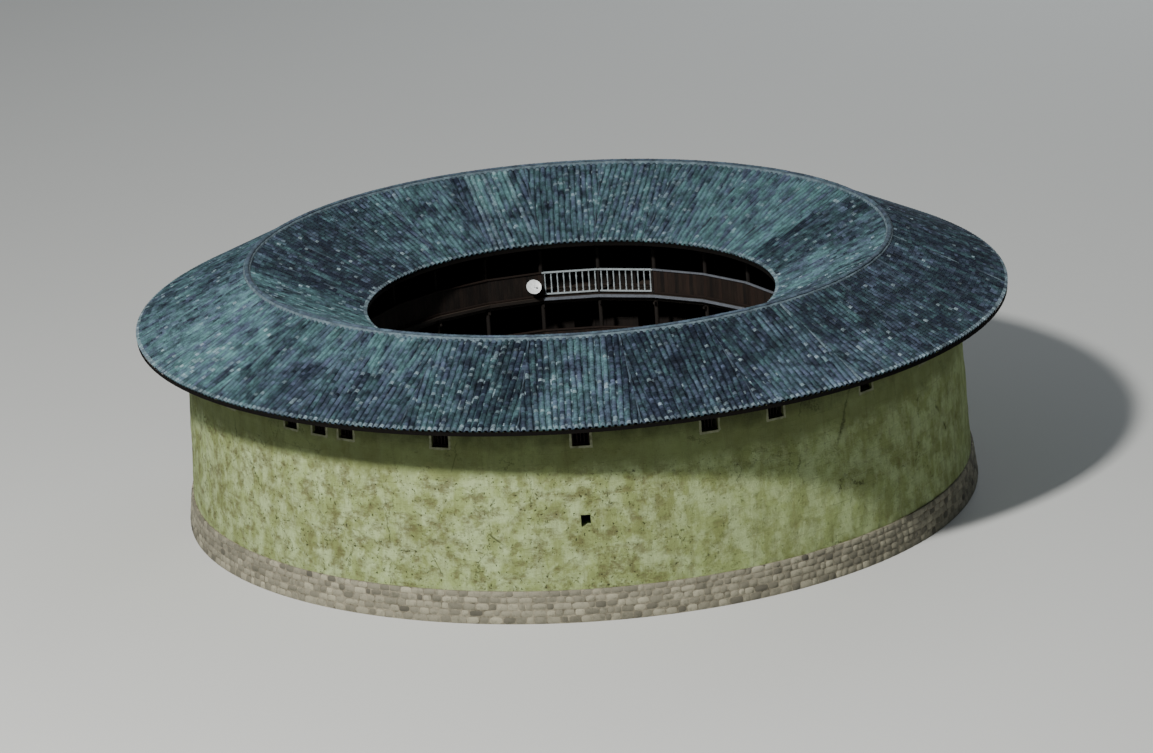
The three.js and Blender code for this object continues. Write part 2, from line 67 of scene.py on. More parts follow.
class Slope(Enum):
    """A slope of the roof, by the side that it falls to: 1 away from the courtyard and -1 towards it."""

    OUTER = 1
    INNER = -1


class Storey(Enum):
    """A storey, by the word that ends the names of its pieces."""

    GROUND = "ground"
    SECOND = "second"
    THIRD = "third"


@dataclass(frozen=True)
class Plan:
    """The house's driving sizes, the same as in the part's source, in metres."""

    bays: int = 24
    eave_r: float = 16.965
    court_eave_r: float = 8.0
    ridge_r: float = 12.5
    ridge_top: float = 9.97
    crown_top: float = 10.11
    slope: float = 0.47
    roof_thick: float = 0.2
    post_r: float = 9.0
    front_r: float = 10.3
    wall_inner_r: float = 14.1
    floor_edge_r: float = 8.7
    platform_top: float = 0.3
    second_floor: float = 2.95
    third_floor: float = 5.4
    tie_bottom: float = 7.6
    floor_thick: float = 0.12
    gate_bearing: float = 180.0
    gate_half: float = 1.15
    gate_top: float = 2.8

    @property
    def half_bay(self) -> float:
        """Half a bay's angle in radians."""
        return pi / self.bays

    @property
    def facet(self) -> float:
        """What turns a corner's radius into a facet's distance from the middle."""
        return cos(self.half_bay)

    @property
    def centres(self) -> list[float]:
        """The bearings of the bays' middles."""
        return [i * 360.0 / self.bays for i in range(self.bays)]

    @property
    def lines(self) -> list[float]:
        """The bearings of the lines between bays, where the posts stand."""
        return [c + 180.0 / self.bays for c in self.centres]

    @property
    def storeys(self) -> list[tuple[Storey, float, float]]:
        """Each storey, its floor's height and the height of what rests on its posts."""
        return [
            (Storey.GROUND, self.platform_top, self.second_floor - self.floor_thick),
            (Storey.SECOND, self.second_floor, self.third_floor - self.floor_thick),
            (Storey.THIRD, self.third_floor, self.tie_bottom),
        ]

    def half_width(self, distance: Any) -> Any:
        """Half a facet's width at a distance from the middle."""
        return distance * tan(self.half_bay)

    def roof_top(self, radius: Any) -> Any:
        """The height of the roof's top over a corner's radius."""
        return self.ridge_top - self.slope * abs(radius - self.ridge_r)


PLAN = Plan()


def linear(hex_colour: str) -> tuple[float, float, float, float]:
    """Turns an sRGB hex colour to linear light.

    Args:
        hex_colour: six hex digits, with or without a leading mark.

    Returns:
        The colour as linear red, green, blue and alpha.
    """
    digits = hex_colour.lstrip("#")
    channels = [int(digits[i : i + 2], 16) / 255 for i in (0, 2, 4)]
    lit = [c / 12.92 if c <= 0.04045 else ((c + 0.055) / 1.055) ** 2.4 for c in channels]
    return lit[0], lit[1], lit[2], 1.0


def add_node(tree: bpy.types.NodeTree, kind: str, feeds: Any = (), out: Any = 0, **settings: Any) -> Any:
    """Adds a node with its settings and links.

    Args:
        tree: the node tree of a material.
        kind: the node's type name without its leading words.
        feeds: another node's output or a value for each input, in their order, or by name or number.
        out: the name or number of the output that is handed back.
        settings: the node's own settings.

    Returns:
        That output.
    """
    made = tree.nodes.new("ShaderNode" + kind)
    for name, value in settings.items():
        setattr(made, name, value)
    for key, value in feeds.items() if isinstance(feeds, dict) else enumerate(feeds):
        if isinstance(value, bpy.types.NodeSocket):
            tree.links.new(value, made.inputs[key])
        else:
            made.inputs[key].default_value = value
    return made.outputs[out]


def coat(node: ADDER, under: Any, colour: str, *amounts: Any) -> Any:
    """Lays a coat of one colour over what is under it.

    Args:
        node: adds a node to the material.
        under: an output, or a hex colour.
        colour: the coat's hex colour.
        amounts: outputs that say how much of the coat shows, and are multiplied.

    Returns:
        The coated colour's output.
    """
    amount = amounts[0]
    for more in amounts[1:]:
        amount = node("Math", (amount, more), operation="MULTIPLY")
    below = linear(under) if isinstance(under, str) else under
    return node("Mix", {0: amount, 6: below, 7: linear(colour)}, 2, data_type="RGBA")


def shade(node: ADDER, colour: Any, amount: Any) -> Any:
    """Makes a colour darker or lighter.

    Args:
        node: adds a node to the material.
        colour: an output, or a linear colour.
        amount: the output that the colour is multiplied by.

    Returns:
        The shaded colour's output.
    """
    grey = node("CombineColor", (amount, amount, amount))
    return node("Mix", {0: 1.0, 6: colour, 7: grey}, 2, data_type="RGBA", blend_type="MULTIPLY")


@dataclass(frozen=True)
class Mottle:
    """A cloudy pattern of a real size in millimetres.

    Detail and share say how many finer patterns it holds and how strong each is. Between the two edges it
    goes from the first amount to the second. Stretch above 1 along an axis makes it narrower there.
    """

    size: float
    detail: float = 4.0
    share: float = 0.6
    edges: Pair = (0.3, 0.7)
    amounts: Pair = (0.0, 1.0)
    stretch: Triple | None = None

    def cloud(self, node: ADDER, where: Any) -> Any:
        """Lays out the pattern as it comes, for a height or a wander.

        Args:
            node: adds a node to the material.
            where: the output of a place in metres.

        Returns:
            An output from 0 to 1.
        """
        if self.stretch:
            where = node("Mapping", {"Vector": where, "Scale": self.stretch})
        cells = MM_PER_M / self.size
        feeds = {"Vector": where, "Scale": cells, "Detail": self.detail, "Roughness": self.share}
        return node("TexNoise", feeds, "Fac")

    def lay(self, node: ADDER, where: Any) -> Any:
        """Lays out the pattern between its two amounts, and takes what cloud takes."""
        return node("MapRange", (self.cloud(node, where), *self.edges, *self.amounts))


@dataclass(frozen=True)
class Finish:
    """A finish: what it is called, its slot in the record, its roughness, and how much it shines.

    A shine of 0.5 is that of a clean dielectric. Dusty and porous skins scatter most of it.
    """

    name: str
    slot: str
    roughness: float
    shine: float = field(default=0.5, kw_only=True)
    metallic: float = field(default=0.0, kw_only=True)

    def dress(self, node: ADDER) -> dict[str, Any]:
        """Lays out the finish through node, and returns what feeds each of the shader's inputs."""
        raise NotImplementedError

    def material(self) -> bpy.types.Material:
        """Makes the material, or finds it if it is made.

        Returns:
            The material.
        """
        found = bpy.data.materials.get(self.name)
        if found:
            return found
        made = bpy.data.materials.new(self.name)
        made.use_nodes = True
        inputs = made.node_tree.nodes["Principled BSDF"].inputs
        inputs["Roughness"].default_value = self.roughness
        inputs["Specular IOR Level"].default_value = self.shine
        inputs["Metallic"].default_value = self.metallic
        for name, output in self.dress(partial(add_node, made.node_tree)).items():
            made.node_tree.links.new(output, inputs[name])
        return made


@dataclass(frozen=True)
class Stained(Finish):
    """One colour with stains of a second over it and, if it has a depth, a grain that deep."""

    base: str
    stain: str
    stains: Mottle
    grain: Mottle = Mottle(12.5)
    depth: float = 0.0

    def dress(self, node: ADDER) -> dict[str, Any]:
        """Lays out the stains over the colour, and the grain."""
        where = node("TexCoord", out="Object")
        feeds = {"Base Color": coat(node, self.base, self.stain, self.stains.lay(node, where))}
        if self.depth:
            height = self.grain.cloud(node, where)
            feeds["Normal"] = node("Bump", {"Height": height, "Distance": self.depth})
        return feeds


@dataclass(frozen=True)
class FiredClayTile(Finish):
    """Grey reduction-fired clay roof tile, hand formed and unglazed, with lichen and rain staining.

    It gives the eye a dull blue-grey that changes from tile to tile, paler and greener where lichen grows.
    """

    dark: str = "#171f2c"
    pale: str = "#475267"
    lichen: str = "#527679"
    bleached: str = "#8da2ab"
    shine: float = field(default=0.15, kw_only=True)

    def dress(self, node: ADDER) -> dict[str, Any]:
        """Lays out tone by tile, lichen down the slope, crust, soot 0.6 m across and a 6 mm grit."""
        where = node("TexCoord", out="Object")
        slope = node("Attribute", out="Vector", attribute_name="grain")
        tone = node("Attribute", out="Fac", attribute_name="tone")
        patches = Mottle(416.7, 5.0, 0.7, (0.39, 0.6), stretch=(1.0, 0.4, 1.0)).lay(node, slope)
        spores = node("Attribute", out="Fac", attribute_name="lichen")
        growth = node("Math", (spores, patches), operation="MULTIPLY")
        mossy = coat(node, coat(node, self.dark, self.pale, tone), self.lichen, growth)
        crust = Mottle(45.45, 3.0, edges=(0.4, 0.6), amounts=(0.35, 1.0)).lay(node, where)
        bleach = node("Attribute", out="Fac", attribute_name="bleach")
        soot = Mottle(588.2, 6.0, 0.75, (0.38, 0.62), (0.5, 1.3)).lay(node, where)
        return {
            "Base Color": shade(node, coat(node, mossy, self.bleached, bleach, crust), soot),
            "Roughness": node("MapRange", (growth, 0.0, 1.0, self.roughness, 0.97)),
            "Normal": node("Bump", {"Height": Mottle(6.25, 3.0).cloud(node, where), "Distance": 0.003}),
        }


@dataclass(frozen=True)
class LimeMortar(Stained):
    """Trowelled lime mortar, grey from the weather, which reads as a thin pale line along the roof."""

    stains: Mottle = Mottle(333.3, 6.0, 0.7, (0.35, 0.65))
    depth: float = 0.006


@dataclass(frozen=True)
class RammedEarth(Finish):
    """Rammed ochre earth with lime and gravel, built up in lifts and washed by rain.

    It gives the eye a pale straw colour, mottled with darker clods and pits, with faint level lines between
    the lifts and a few thin cracks. Rain wears the -X side most. Under the eave it is smooth, in a dry band
    that is partly the earth's own darker tone and partly painted shade, and painted shade darkens it to near
    black at the wall's top.
    """

    straw: str = "#93a36b"
    clay: str = "#7a8452"
    wash: str = "#acbd8e"
    clod: str = "#5c5739"
    crack: str = "#2b2b1c"
    # sheltered: the dry band under the eave, the earth's own darker tone made darker still as painted shade.
    sheltered_and_shaded: str = "#505838"
    # soot: painted shade under the eave, darkest at the wall's top.
    soot: str = "#15170f"
    lift: float = 0.4
    rain_line: float = 5.9
    dry_line: float = 6.5
    shine: float = field(default=0.2, kw_only=True)

    def dress(self, node: ADDER) -> dict[str, Any]:
        """Lays out broad tones, washed and clodded patches, rain runs, pits, cracks, lifts, gravel and
        painted shade under the eave.
        """
        where = node("TexCoord", out="Object")
        height, across = (node("SeparateXYZ", (where,), axis) for axis in "ZX")
        ragged = node("Math", (Mottle(666.7, 5.0).cloud(node, where), 1.2, height), operation="MULTIPLY_ADD")
        rained = node("MapRange", (ragged, self.rain_line, self.dry_line, 1.0, 0.25))
        calmer = [node("MapRange", (across, *span)) for span in ((-3.0, 5.0, 1.0, 0.8), (1.0, 7.0, 1.0, 0.3))]
        worn, pocky = (node("Math", (rained, less), operation="MULTIPLY") for less in calmer)
        broad = Mottle(2000, 5.0, edges=(0.36, 0.64)).lay(node, where)
        washed = Mottle(714.3, 7.0, 0.66, (0.43, 0.6), (0.0, 0.85), (1.0, 1.0, 0.8)).lay(node, where)
        clods = Mottle(500, 7.0, 0.68, (0.485, 0.64), (0.0, 0.75), (1.0, 1.0, 1.3)).lay(node, where)
        runs = Mottle(384.6, 6.0, 0.75, (0.5, 0.72), (0.0, 0.45), (1.0, 1.0, 0.1)).lay(node, where)
        pits = Mottle(111.1, 2.0, edges=(0.63, 0.7), amounts=(0.0, 0.85)).lay(node, where)
        colour = coat(node, coat(node, self.straw, self.clay, broad), self.wash, washed, worn)
        colour = coat(node, coat(node, colour, self.clod, clods, pocky), self.clod, runs)
        colour = coat(node, coat(node, colour, self.crack, pits, pocky), self.crack, self.cracks(node, where))
        colour = coat(node, colour, self.clod, self.lifts(node, where, height))
        # Where rain doesn't reach, the dry band is partly the earth's own tone and partly painted shade of
        # the eave's shadow.
        colour = coat(node, colour, self.sheltered_and_shaded, node("MapRange", (rained, 0.25, 1.0, 0.6, 0.0)))
        gravel = Mottle(41.67, 7.0, 0.8).cloud(node, where)
        rough = node("Math", (clods, -0.7, gravel), operation="MULTIPLY_ADD")
        pocked = node("Math", (pits, -0.6, rough), operation="MULTIPLY_ADD")
        skin = node("Math", (pocked, rained), operation="MULTIPLY")
        return {
            # Painted shade under the eave: the wall darkens to near black from 7 m up.
            "Base Color": coat(node, colour, self.soot, node("MapRange", (ragged, 7.0, 8.1, 0.0, 0.9))),
            "Normal": node("Bump", {"Height": skin, "Distance": 0.05}),
        }

    def cracks(self, node: ADDER, where: Any) -> Any:
        """Lays out a few thin cracks, some 2 m apart, that wander and fade out.

        Args:
            node: adds a node to the material.
            where: the output of a place in metres.

        Returns:
            The output of how deep a crack is.
        """
        bent = Mottle(625, 6.0, 0.7).cloud(node, where)
        offset = node("CombineXYZ", (bent, bent, bent))
        moved = node("VectorMath", (where, offset), operation="ADD")
        tall = node("Mapping", {"Vector": moved, "Scale": (1.0, 1.0, 0.45)})
        feeds = {"Vector": tall, "Scale": MM_PER_M / 2000}
        edge = node("TexVoronoi", feeds, "Distance", feature="DISTANCE_TO_EDGE")
        line = node("MapRange", (edge, 0.0, 0.012, 0.85, 0.0))
        fade = Mottle(1428.6, 2.0, edges=(0.5, 0.58)).lay(node, where)
        return node("Math", (line, fade), operation="MULTIPLY")

    def lifts(self, node: ADDER, where: Any, height: Any) -> Any:
        """Lays out the broken level lines between the lifts.

        Args:
            node: adds a node to the material.
            where: the output of a place in metres.
            height: the output of its height.

        Returns:
            The output of how strong a line is.
        """
        wavy = node("Math", (Mottle(1250, 3.0).cloud(node, where), 0.12, height), operation="MULTIPLY_ADD")
        level = node("Math", (wavy, self.lift), operation="MODULO")
        line = node("MapRange", (level, 0.0, 0.03, 1.0, 0.0))
        broken = Mottle(769.2, 3.0, edges=(0.42, 0.66), amounts=(0.05, 0.55)).lay(node, where)
        return node("Math", (line, broken), operation="MULTIPLY")


@dataclass(frozen=True)
class Stone(Finish):
    """River or quarried stone, split and weathered, each stone with a tone of its own."""

    light: str
    deep: str
    stain: str
    grit: float = 14.29

    def dress(self, node: ADDER) -> dict[str, Any]:
        """Lays out a tone by stone, stains 0.2 m across and a grit of a size in millimetres."""
        where = node("TexCoord", out="Object")
        tone = node("Attribute", out="Fac", attribute_name="tone")
        fleck = Mottle(self.grit, 3.0, amounts=(0.75, 1.15)).lay(node, where)
        stains = Mottle(222.2, 6.0, 0.7, (0.5, 0.75), (0.0, 0.7)).lay(node, where)
        flecked = shade(node, coat(node, self.deep, self.light, tone), fleck)
        tooled = Mottle(self.grit / 0.6, 5.0, 0.7).cloud(node, where)
        return {
            "Base Color": coat(node, flecked, self.stain, stains),
            "Normal": node("Bump", {"Height": tooled, "Distance": 0.008}),
        }


@dataclass(frozen=True)
class Timber(Finish):
    """Sawn fir, aged in the open: long grain, tone by board, grey where rain reaches it."""

    early: str
    late: str
    grey: str
    greying: float
    shine: float = field(default=0.25, kw_only=True)

    def dress(self, node: ADDER) -> dict[str, Any]:
        """Lays out growth rings along each piece's own grain, and greyed patches.

        The rings of real fir are 3 mm wide. They are drawn 16 mm wide, so that they show in the render.
        """
        own = node("Attribute", out="Vector", attribute_name="grain")
        rings = Mottle(454.5, 5.0, 0.7, stretch=(0.9, 28.0, 28.0)).lay(node, own)
        tone = node("Attribute", out="Fac", attribute_name="tone")
        lift = node("MapRange", (tone, 0.0, 1.0, 0.3, 1.6))
        grown = Mottle(500, edges=(0.42, 0.68), amounts=(0.0, self.greying * 2.0), stretch=(0.6, 4.0, 4.0))
        toned = shade(node, coat(node, self.early, self.late, rings), lift)
        return {
            "Base Color": coat(node, toned, self.grey, grown.lay(node, own)),
            "Normal": node("Bump", {"Height": rings, "Distance": 0.0025}),
        }


@dataclass(frozen=True)
class WornPaint(Finish):
    """Oil paint on timber, chalked and flaking, with bare grey wood in the worn spots."""

    paint: str
    bare: str

    def dress(self, node: ADDER) -> dict[str, Any]:
        """Lays out flakes some 40 mm across and chalky dust 0.3 m across."""
        own = node("Attribute", out="Vector", attribute_name="grain")
        flakes = Mottle(41.67, 6.0, 0.7, (0.57, 0.62)).lay(node, own)
        dusty = Mottle(333.3, 5.0, amounts=(0.75, 1.05)).lay(node, own)
        return {
            "Base Color": coat(node, shade(node, linear(self.paint), dusty), self.bare, flakes),
            "Normal": node("Bump", {"Height": flakes, "Distance": -0.001}),
        }


@dataclass(frozen=True)
class ForgedIron(Finish):
    """Forged iron fittings with a brown skin of rust."""

    skin: str = "#3a2f2a"
    rust: str = "#6d4127"
    metallic: float = field(default=0.6, kw_only=True)

    def dress(self, node: ADDER) -> dict[str, Any]:
        """Lays out rust some 20 mm across."""
        rusted = Mottle(20, 5.0, edges=(0.4, 0.7)).lay(node, node("TexCoord", out="Object"))
        return {
            "Base Color": coat(node, self.skin, self.rust, rusted),
            "Normal": node("Bump", {"Height": rusted, "Distance": 0.001}),
        }


ROOF_TILE = FiredClayTile("grey_fired_clay_tile", "clay_tile", 0.78)
RIDGE_LIME = LimeMortar("weathered_lime_mortar", "ridge_mortar", 0.92, "#62757f", "#34424b")
JOINT_LIME = LimeMortar("sooty_lime_mortar", "ridge_mortar", 0.94, "#3b4c5a", "#1a242d")
BED_LIME = LimeMortar("earthy_lime_mortar", "ridge_mortar", 0.94, "#8d8875", "#4b483b")
EARTH = RammedEarth("rammed_ochre_earth", "rammed_earth", 0.96)
RIVER_STONE = Stone("split_river_stone", "rubble_stone", 0.88, "#9a9783", "#4c4a40", "#3c3f30")
GRANITE = Stone("tooled_grey_granite", "dressed_stone", 0.8, "#a9a79d", "#7c7a72", "#5a5a52", 9.09)
# A floor of pounded lime and earth, worn smooth by feet: dusty brown with patches of darker damp.
DAMP = Mottle(625, 6.0, 0.65, (0.35, 0.65))
EARTH_FLOOR = Stained(
    "pounded_lime_earth", "pounded_floor", 0.94, "#9a8d70", "#6a604b", DAMP, Mottle(20.83), 0.004
)
OLD_FIR = Timber("smoke_darkened_fir", "dark_fir", 0.8, "#1a1410", "#0b0907", "#2a2623", 0.12)
# Fir under the roof: soot-blackened, and made near black as painted shade on its boards, rafters and eave
# board.
SOOTY_AND_SHADED_FIR = Timber("soot_blackened_fir", "dark_fir", 0.92, "#0e0c0b", "#060504", "#171411", 0.1, shine=0.1)
BROWN_FIR = Timber("weathered_brown_fir", "brown_board", 0.78, "#1f140e", "#0d0806", "#292119", 0.15)
FLOOR_FIR = Timber("worn_fir_floorboard", "floor_board", 0.8, "#302720", "#19130f", "#3a352f", 0.3)
# The room fronts' boards: smoky fir, made darker still as painted shade of the galleries.
SMOKY_AND_SHADED_FIR = Timber("smoky_fir_board", "brown_board", 0.85, "#150f0b", "#090605", "#1d1814", 0.13)
# Pale paint on the balusters, chalked, and greyed and blued as painted shade.
CHALKED_AND_SHADED_PAINT = WornPaint("chalked_and_shaded_pale_oil_paint", "pale_paint", 0.62, "#98a3a8", "#4a4540")
DULL_PAINT = WornPaint("dull_grey_oil_paint", "pale_paint", 0.7, "#5c626b", "#332f2c")
# Limewash round the windows, greyed by weather and darkened further as painted shade.
SHADED_LIMEWASH = LimeMortar("limewashed_plaster", "pale_paint", 0.93, "#8b9074", "#565a40")
# White stoved enamel on pressed steel: smooth and slightly chalked, with runs of dust 80 mm apart.
DUST_RUNS = Mottle(83.33, 5.0, edges=(0.45, 0.7), amounts=(0.0, 0.6), stretch=(1.0, 1.0, 0.3))
ORANGE_PEEL = Mottle(6.667, 2.0, stretch=(1.0, 1.0, 0.3))
WHITE_ENAMEL = Stained(
    "stoved_white_enamel", "white_enamel", 0.38, "#e6ebee", "#b3b8b4", DUST_RUNS, ORANGE_PEEL, 0.0003
)
IRON = ForgedIron("forged_iron", "dark_fir", 0.6)
# Matt pale paper under the model, with a faint cloudiness 5 m across.
FAINT = Mottle(5000, 2.0, amounts=(0.0, 0.04))
PAPER = Stained("pale_studio_paper", "", 0.95, "#bcbfbe", "#adb0af", FAINT)


def chamfer_plan() -> tuple[Array, Array, list[tuple[int, ...]]]:
    """Works out a chamfered box once: each corner has one point on each of its three faces.

    Returns:
        The points' signs, which face each point lies on, and the faces, turned outwards.
    """
    corners = [(x, y, z) for x in (-1, 1) for y in (-1, 1) for z in (-1, 1)]
    signs = np.repeat(np.array(corners, float), 3, axis=0)
    on_face = np.eye(3)[np.tile([0, 1, 2], 8)]
    number = {(corner, axis): 3 * i + axis for i, corner in enumerate(corners) for axis in range(3)}
    points = signs * (0.7 + 0.3 * on_face)
    faces: list[tuple[int, ...]] = [tuple(number[c, a] for a in range(3)) for c in corners]
    for axis in range(3):
        for sign in (-1, 1):
            faces.append(tuple(number[c, axis] for c in corners if c[axis] == sign))
        first, second = [a for a in range(3) if a != axis]
        for low in [c for c in corners if c[axis] == -1]:
            high = tuple(1 if a == axis else v for a, v in enumerate(low))
            faces.append((number[low, first], number[high, first], number[low, second], number[high, second]))
    turned = []
    for face in faces:
        middle = points[list(face)].mean(axis=0)
        spread = points[list(face)] - middle
        side = np.cross(middle, spread[0])
        angles = np.arctan2(spread @ side, spread @ np.cross(middle, side) / np.linalg.norm(middle))
        turned.append(tuple(face[i] for i in np.argsort(angles)[::-1]))
    return signs, on_face, turned


BOX_SIGNS, BOX_ON_FACE, BOX_FACES = chamfer_plan()
PLAIN_CORNERS = np.array([(x, y, z) for z in (-1, 1) for x, y in ((-1, -1), (1, -1), (1, 1), (-1, 1))], float)
PLAIN_FACES = [(3, 2, 1, 0), (4, 5, 6, 7), (0, 1, 5, 4), (1, 2, 6, 5), (2, 3, 7, 6), (3, 0, 4, 7)]


def turned_to(points: Array, bearing: float) -> Array:
    """Turns points that were laid out at bearing 0.

    Args:
        points: places, with a last axis of three.
        bearing: where they are turned to.

    Returns:
        The turned places, one row to a point.
    """
    a = radians(bearing)
    x, y, z = points.reshape(-1, 3).T
    return np.stack([x * cos(a) - y * sin(a), x * sin(a) + y * cos(a), z], axis=-1)


def round_places(radius: Any, angle: Any, height: Any) -> Array:
    """Places at a radius, an angle in radians from -Y and a height."""
    return np.stack(np.broadcast_arrays(radius * np.sin(angle), -radius * np.cos(angle), height), axis=-1)


def lattice_faces(
    rows: int, columns: int, flip: bool = False, ring_rows: bool = False, ring_columns: bool = False
) -> Array:
    """The quads of a grid of points.

    Args:
        rows: how many rows of points there are.
        columns: how many points there are in a row.
        flip: whether the faces are turned over.
        ring_rows: whether the last row joins the first.
        ring_columns: whether each row's last point joins its first.

    Returns:
        Point numbers, four to a face.
    """
    spans = np.arange(rows - (not ring_rows)), np.arange(columns - (not ring_columns))
    r, c = (g.ravel() for g in np.meshgrid(*spans, indexing="ij"))
    up, right = (r + 1) % rows, (c + 1) % columns
    quads = np.stack([r * columns + c, r * columns + right, up * columns + right, up * columns + c], axis=1)
    return quads[:, ::-1] if flip else quads


def tube_faces(rings: int, sides: int) -> list[list[int]]:
    """The faces of a stack of rings of points, closed at both ends.

    Args:
        rings: how many rings there are.
        sides: how many points a ring has.

    Returns:
        The point numbers of each face.
    """
    first = list(range(sides))
    last = [(rings - 1) * sides + i for i in first]
    return [*lattice_faces(rings, sides, ring_columns=True).tolist(), first[::-1], last]


class Draft:
    """Gathers points and faces for one piece, with numbers that its material reads."""

    def __init__(self, seed: int) -> None:
        """Starts an empty piece whose random draws come from one seed."""
        self.points: list[Array] = []
        self.grain: list[Array] = []
        self.faces: list[Any] = []
        self.numbers: dict[str, list[Array]] = {"tone": []}
        self.count = 0
        self.random = np.random.default_rng(seed)

    def drawn(self, spread: float, middle: float = 0.5) -> float:
        """Draws a tone from 0 to 1, most often near the middle."""
        return float(np.clip(self.random.normal(middle, spread), 0, 1))

    def add(self, points: Array, faces: Any, grain: Array | None = None, **numbers: Any) -> None:
        """Adds points and their faces.

        Args:
            points: places in metres, with a last axis of three.
            faces: point numbers that start at 0 for these points.
            grain: each point's place in its own timber; its place in the house if left out.
            numbers: a number, or one for each face, for each name that the material reads.
        """
        points = np.asarray(points, float).reshape(-1, 3)
        self.points.append(points)
        self.grain.append(points if grain is None else np.asarray(grain, float).reshape(-1, 3))
        if isinstance(faces, np.ndarray):
            self.faces.extend((faces + self.count).tolist())
        else:
            self.faces.extend([[i + self.count for i in face] for face in faces])
        numbers.setdefault("tone", 0.5)
        for name, value in numbers.items():
            self.numbers.setdefault(name, []).append(np.broadcast_to(np.asarray(value, float), (len(faces),)))
        self.count += len(points)

    def beam(
        self, centre: Sequence[float], size: Sequence[float], bearing: float = 0.0,
        grain: Grain = Grain.ALONG, chamfer: float = 0.0, swing: float = 0.0, tone: float | None = None
    ) -> None:
        """Adds a squared piece of timber or stone.

        Args:
            centre: its middle, laid out at bearing 0.
            size: its length along x, y and z.
            bearing: where it is turned to.
            grain: the axis that its grain runs along.
            chamfer: how much its edges are taken off.
            swing: how far it is turned about its own upright axis, in radians.
            tone: its tone, drawn at random if left out.
        """
        half = np.array(size, float) / 2
        if chamfer > 0:
            shape = BOX_SIGNS * (half - chamfer * (1 - BOX_ON_FACE))
            faces: Any = BOX_FACES
        else:
            shape, faces = PLAIN_CORNERS * half, PLAIN_FACES
        order = [grain.value] + [i for i in range(3) if i != grain.value]
        own = shape[:, order] + self.random.uniform(0, 40, 3)
        if swing:
            shape = shape @ np.array(Matrix.Rotation(swing, 3, "Z")).T
        drawn = self.drawn(0.17)
        points = turned_to(shape + np.array(centre, float), bearing)
        self.add(points, faces, own, tone=drawn if tone is None else tone)

    def turned_post(self, foot: Sequence[float], profile: Sequence[Pair], sides: int, bearing: float) -> None:
        """Adds an upright turned piece with closed ends.

        Args:
            foot: where its axis stands, laid out at bearing 0.
            profile: its radius and height at each ring, from the foot up.
            sides: how many points a ring has.
            bearing: where it is turned to.
        """
        a = np.arange(sides) * 2 * pi / sides
        rings = [np.stack([r * np.cos(a), r * np.sin(a), 0 * a + z], axis=1) for r, z in profile]
        shape = np.concatenate(rings)
        own = shape[:, [2, 0, 1]] + self.random.uniform(0, 40, 3)
        points = turned_to(shape + np.array(foot, float), bearing)
        self.add(points, tube_faces(len(profile), sides), own, tone=self.drawn(0.12))

    def finish(
        self, name: str, finish: Finish, replaces: Sequence[str] = (), smooth: float | None = 35.0
    ) -> None:
        """Makes the piece and hangs it on the house.

        Args:
            name: the piece's name.
            finish: what it is made of.
            replaces: the solids of the model that it stands for.
            smooth: edges under this angle in degrees shade as one; None for flat faces.
        """
        mesh = bpy.data.meshes.new(name)
        mesh.from_pydata(np.concatenate(self.points), [], self.faces)
        for key, parts in self.numbers.items():
            values = np.concatenate(parts).astype(np.float32)
            mesh.attributes.new(key, "FLOAT", "FACE").data.foreach_set("value", values)
        own = np.concatenate(self.grain).astype(np.float32).ravel()
        mesh.attributes.new("grain", "FLOAT_VECTOR", "POINT").data.foreach_set("vector", own)
        if smooth is not None:
            mesh.shade_smooth()
            mesh.set_sharp_from_angle(angle=radians(smooth))
        mesh.materials.append(finish.material())
        piece = bpy.data.objects.new(name, mesh)
        bpy.context.scene.collection.objects.link(piece)
        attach(piece, "root")
        if replaces:
            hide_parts(*replaces)
        LOG.info("%s: %d faces, %s", name, len(self.faces), finish.name)


def bearings_apart(bearing: Any, other: float) -> Any:
    """How many degrees lie between a bearing and another, the shorter way round."""
    return np.abs((bearing - other + 180) % 360 - 180)


@dataclass(frozen=True)
class RoofPatch:
    """A patch of a slope where the tiles differ: the bearings and radii it lies between, and what changes.

    Stripes paint light on the cover tiles and shade on the channel tiles. Its sides fade over soft degrees.
    """

    bearings: Pair
    radii: Pair
    tone: float
    lichen: float
    bleach: float
    soft: float
    row_light_and_shade: float = 0.0
    soft_radius: float = 0.5

    def share(self, bearing: Array, radius: Array) -> Array:
        """How much of the patch a tile gets.

        Args:
            bearing: each tile's bearing.
            radius: each tile's distance from the middle of the courtyard.

        Returns:
            Each tile's share, from 0 to 1.
        """
        low, high = self.bearings
        away = bearings_apart(bearing, (low + high) / 2) - (high - low) / 2
        off = np.maximum(self.radii[0] - radius, radius - self.radii[1])
        return np.clip(0.5 - away / self.soft, 0, 1) * np.clip(0.5 - off / self.soft_radius, 0, 1)


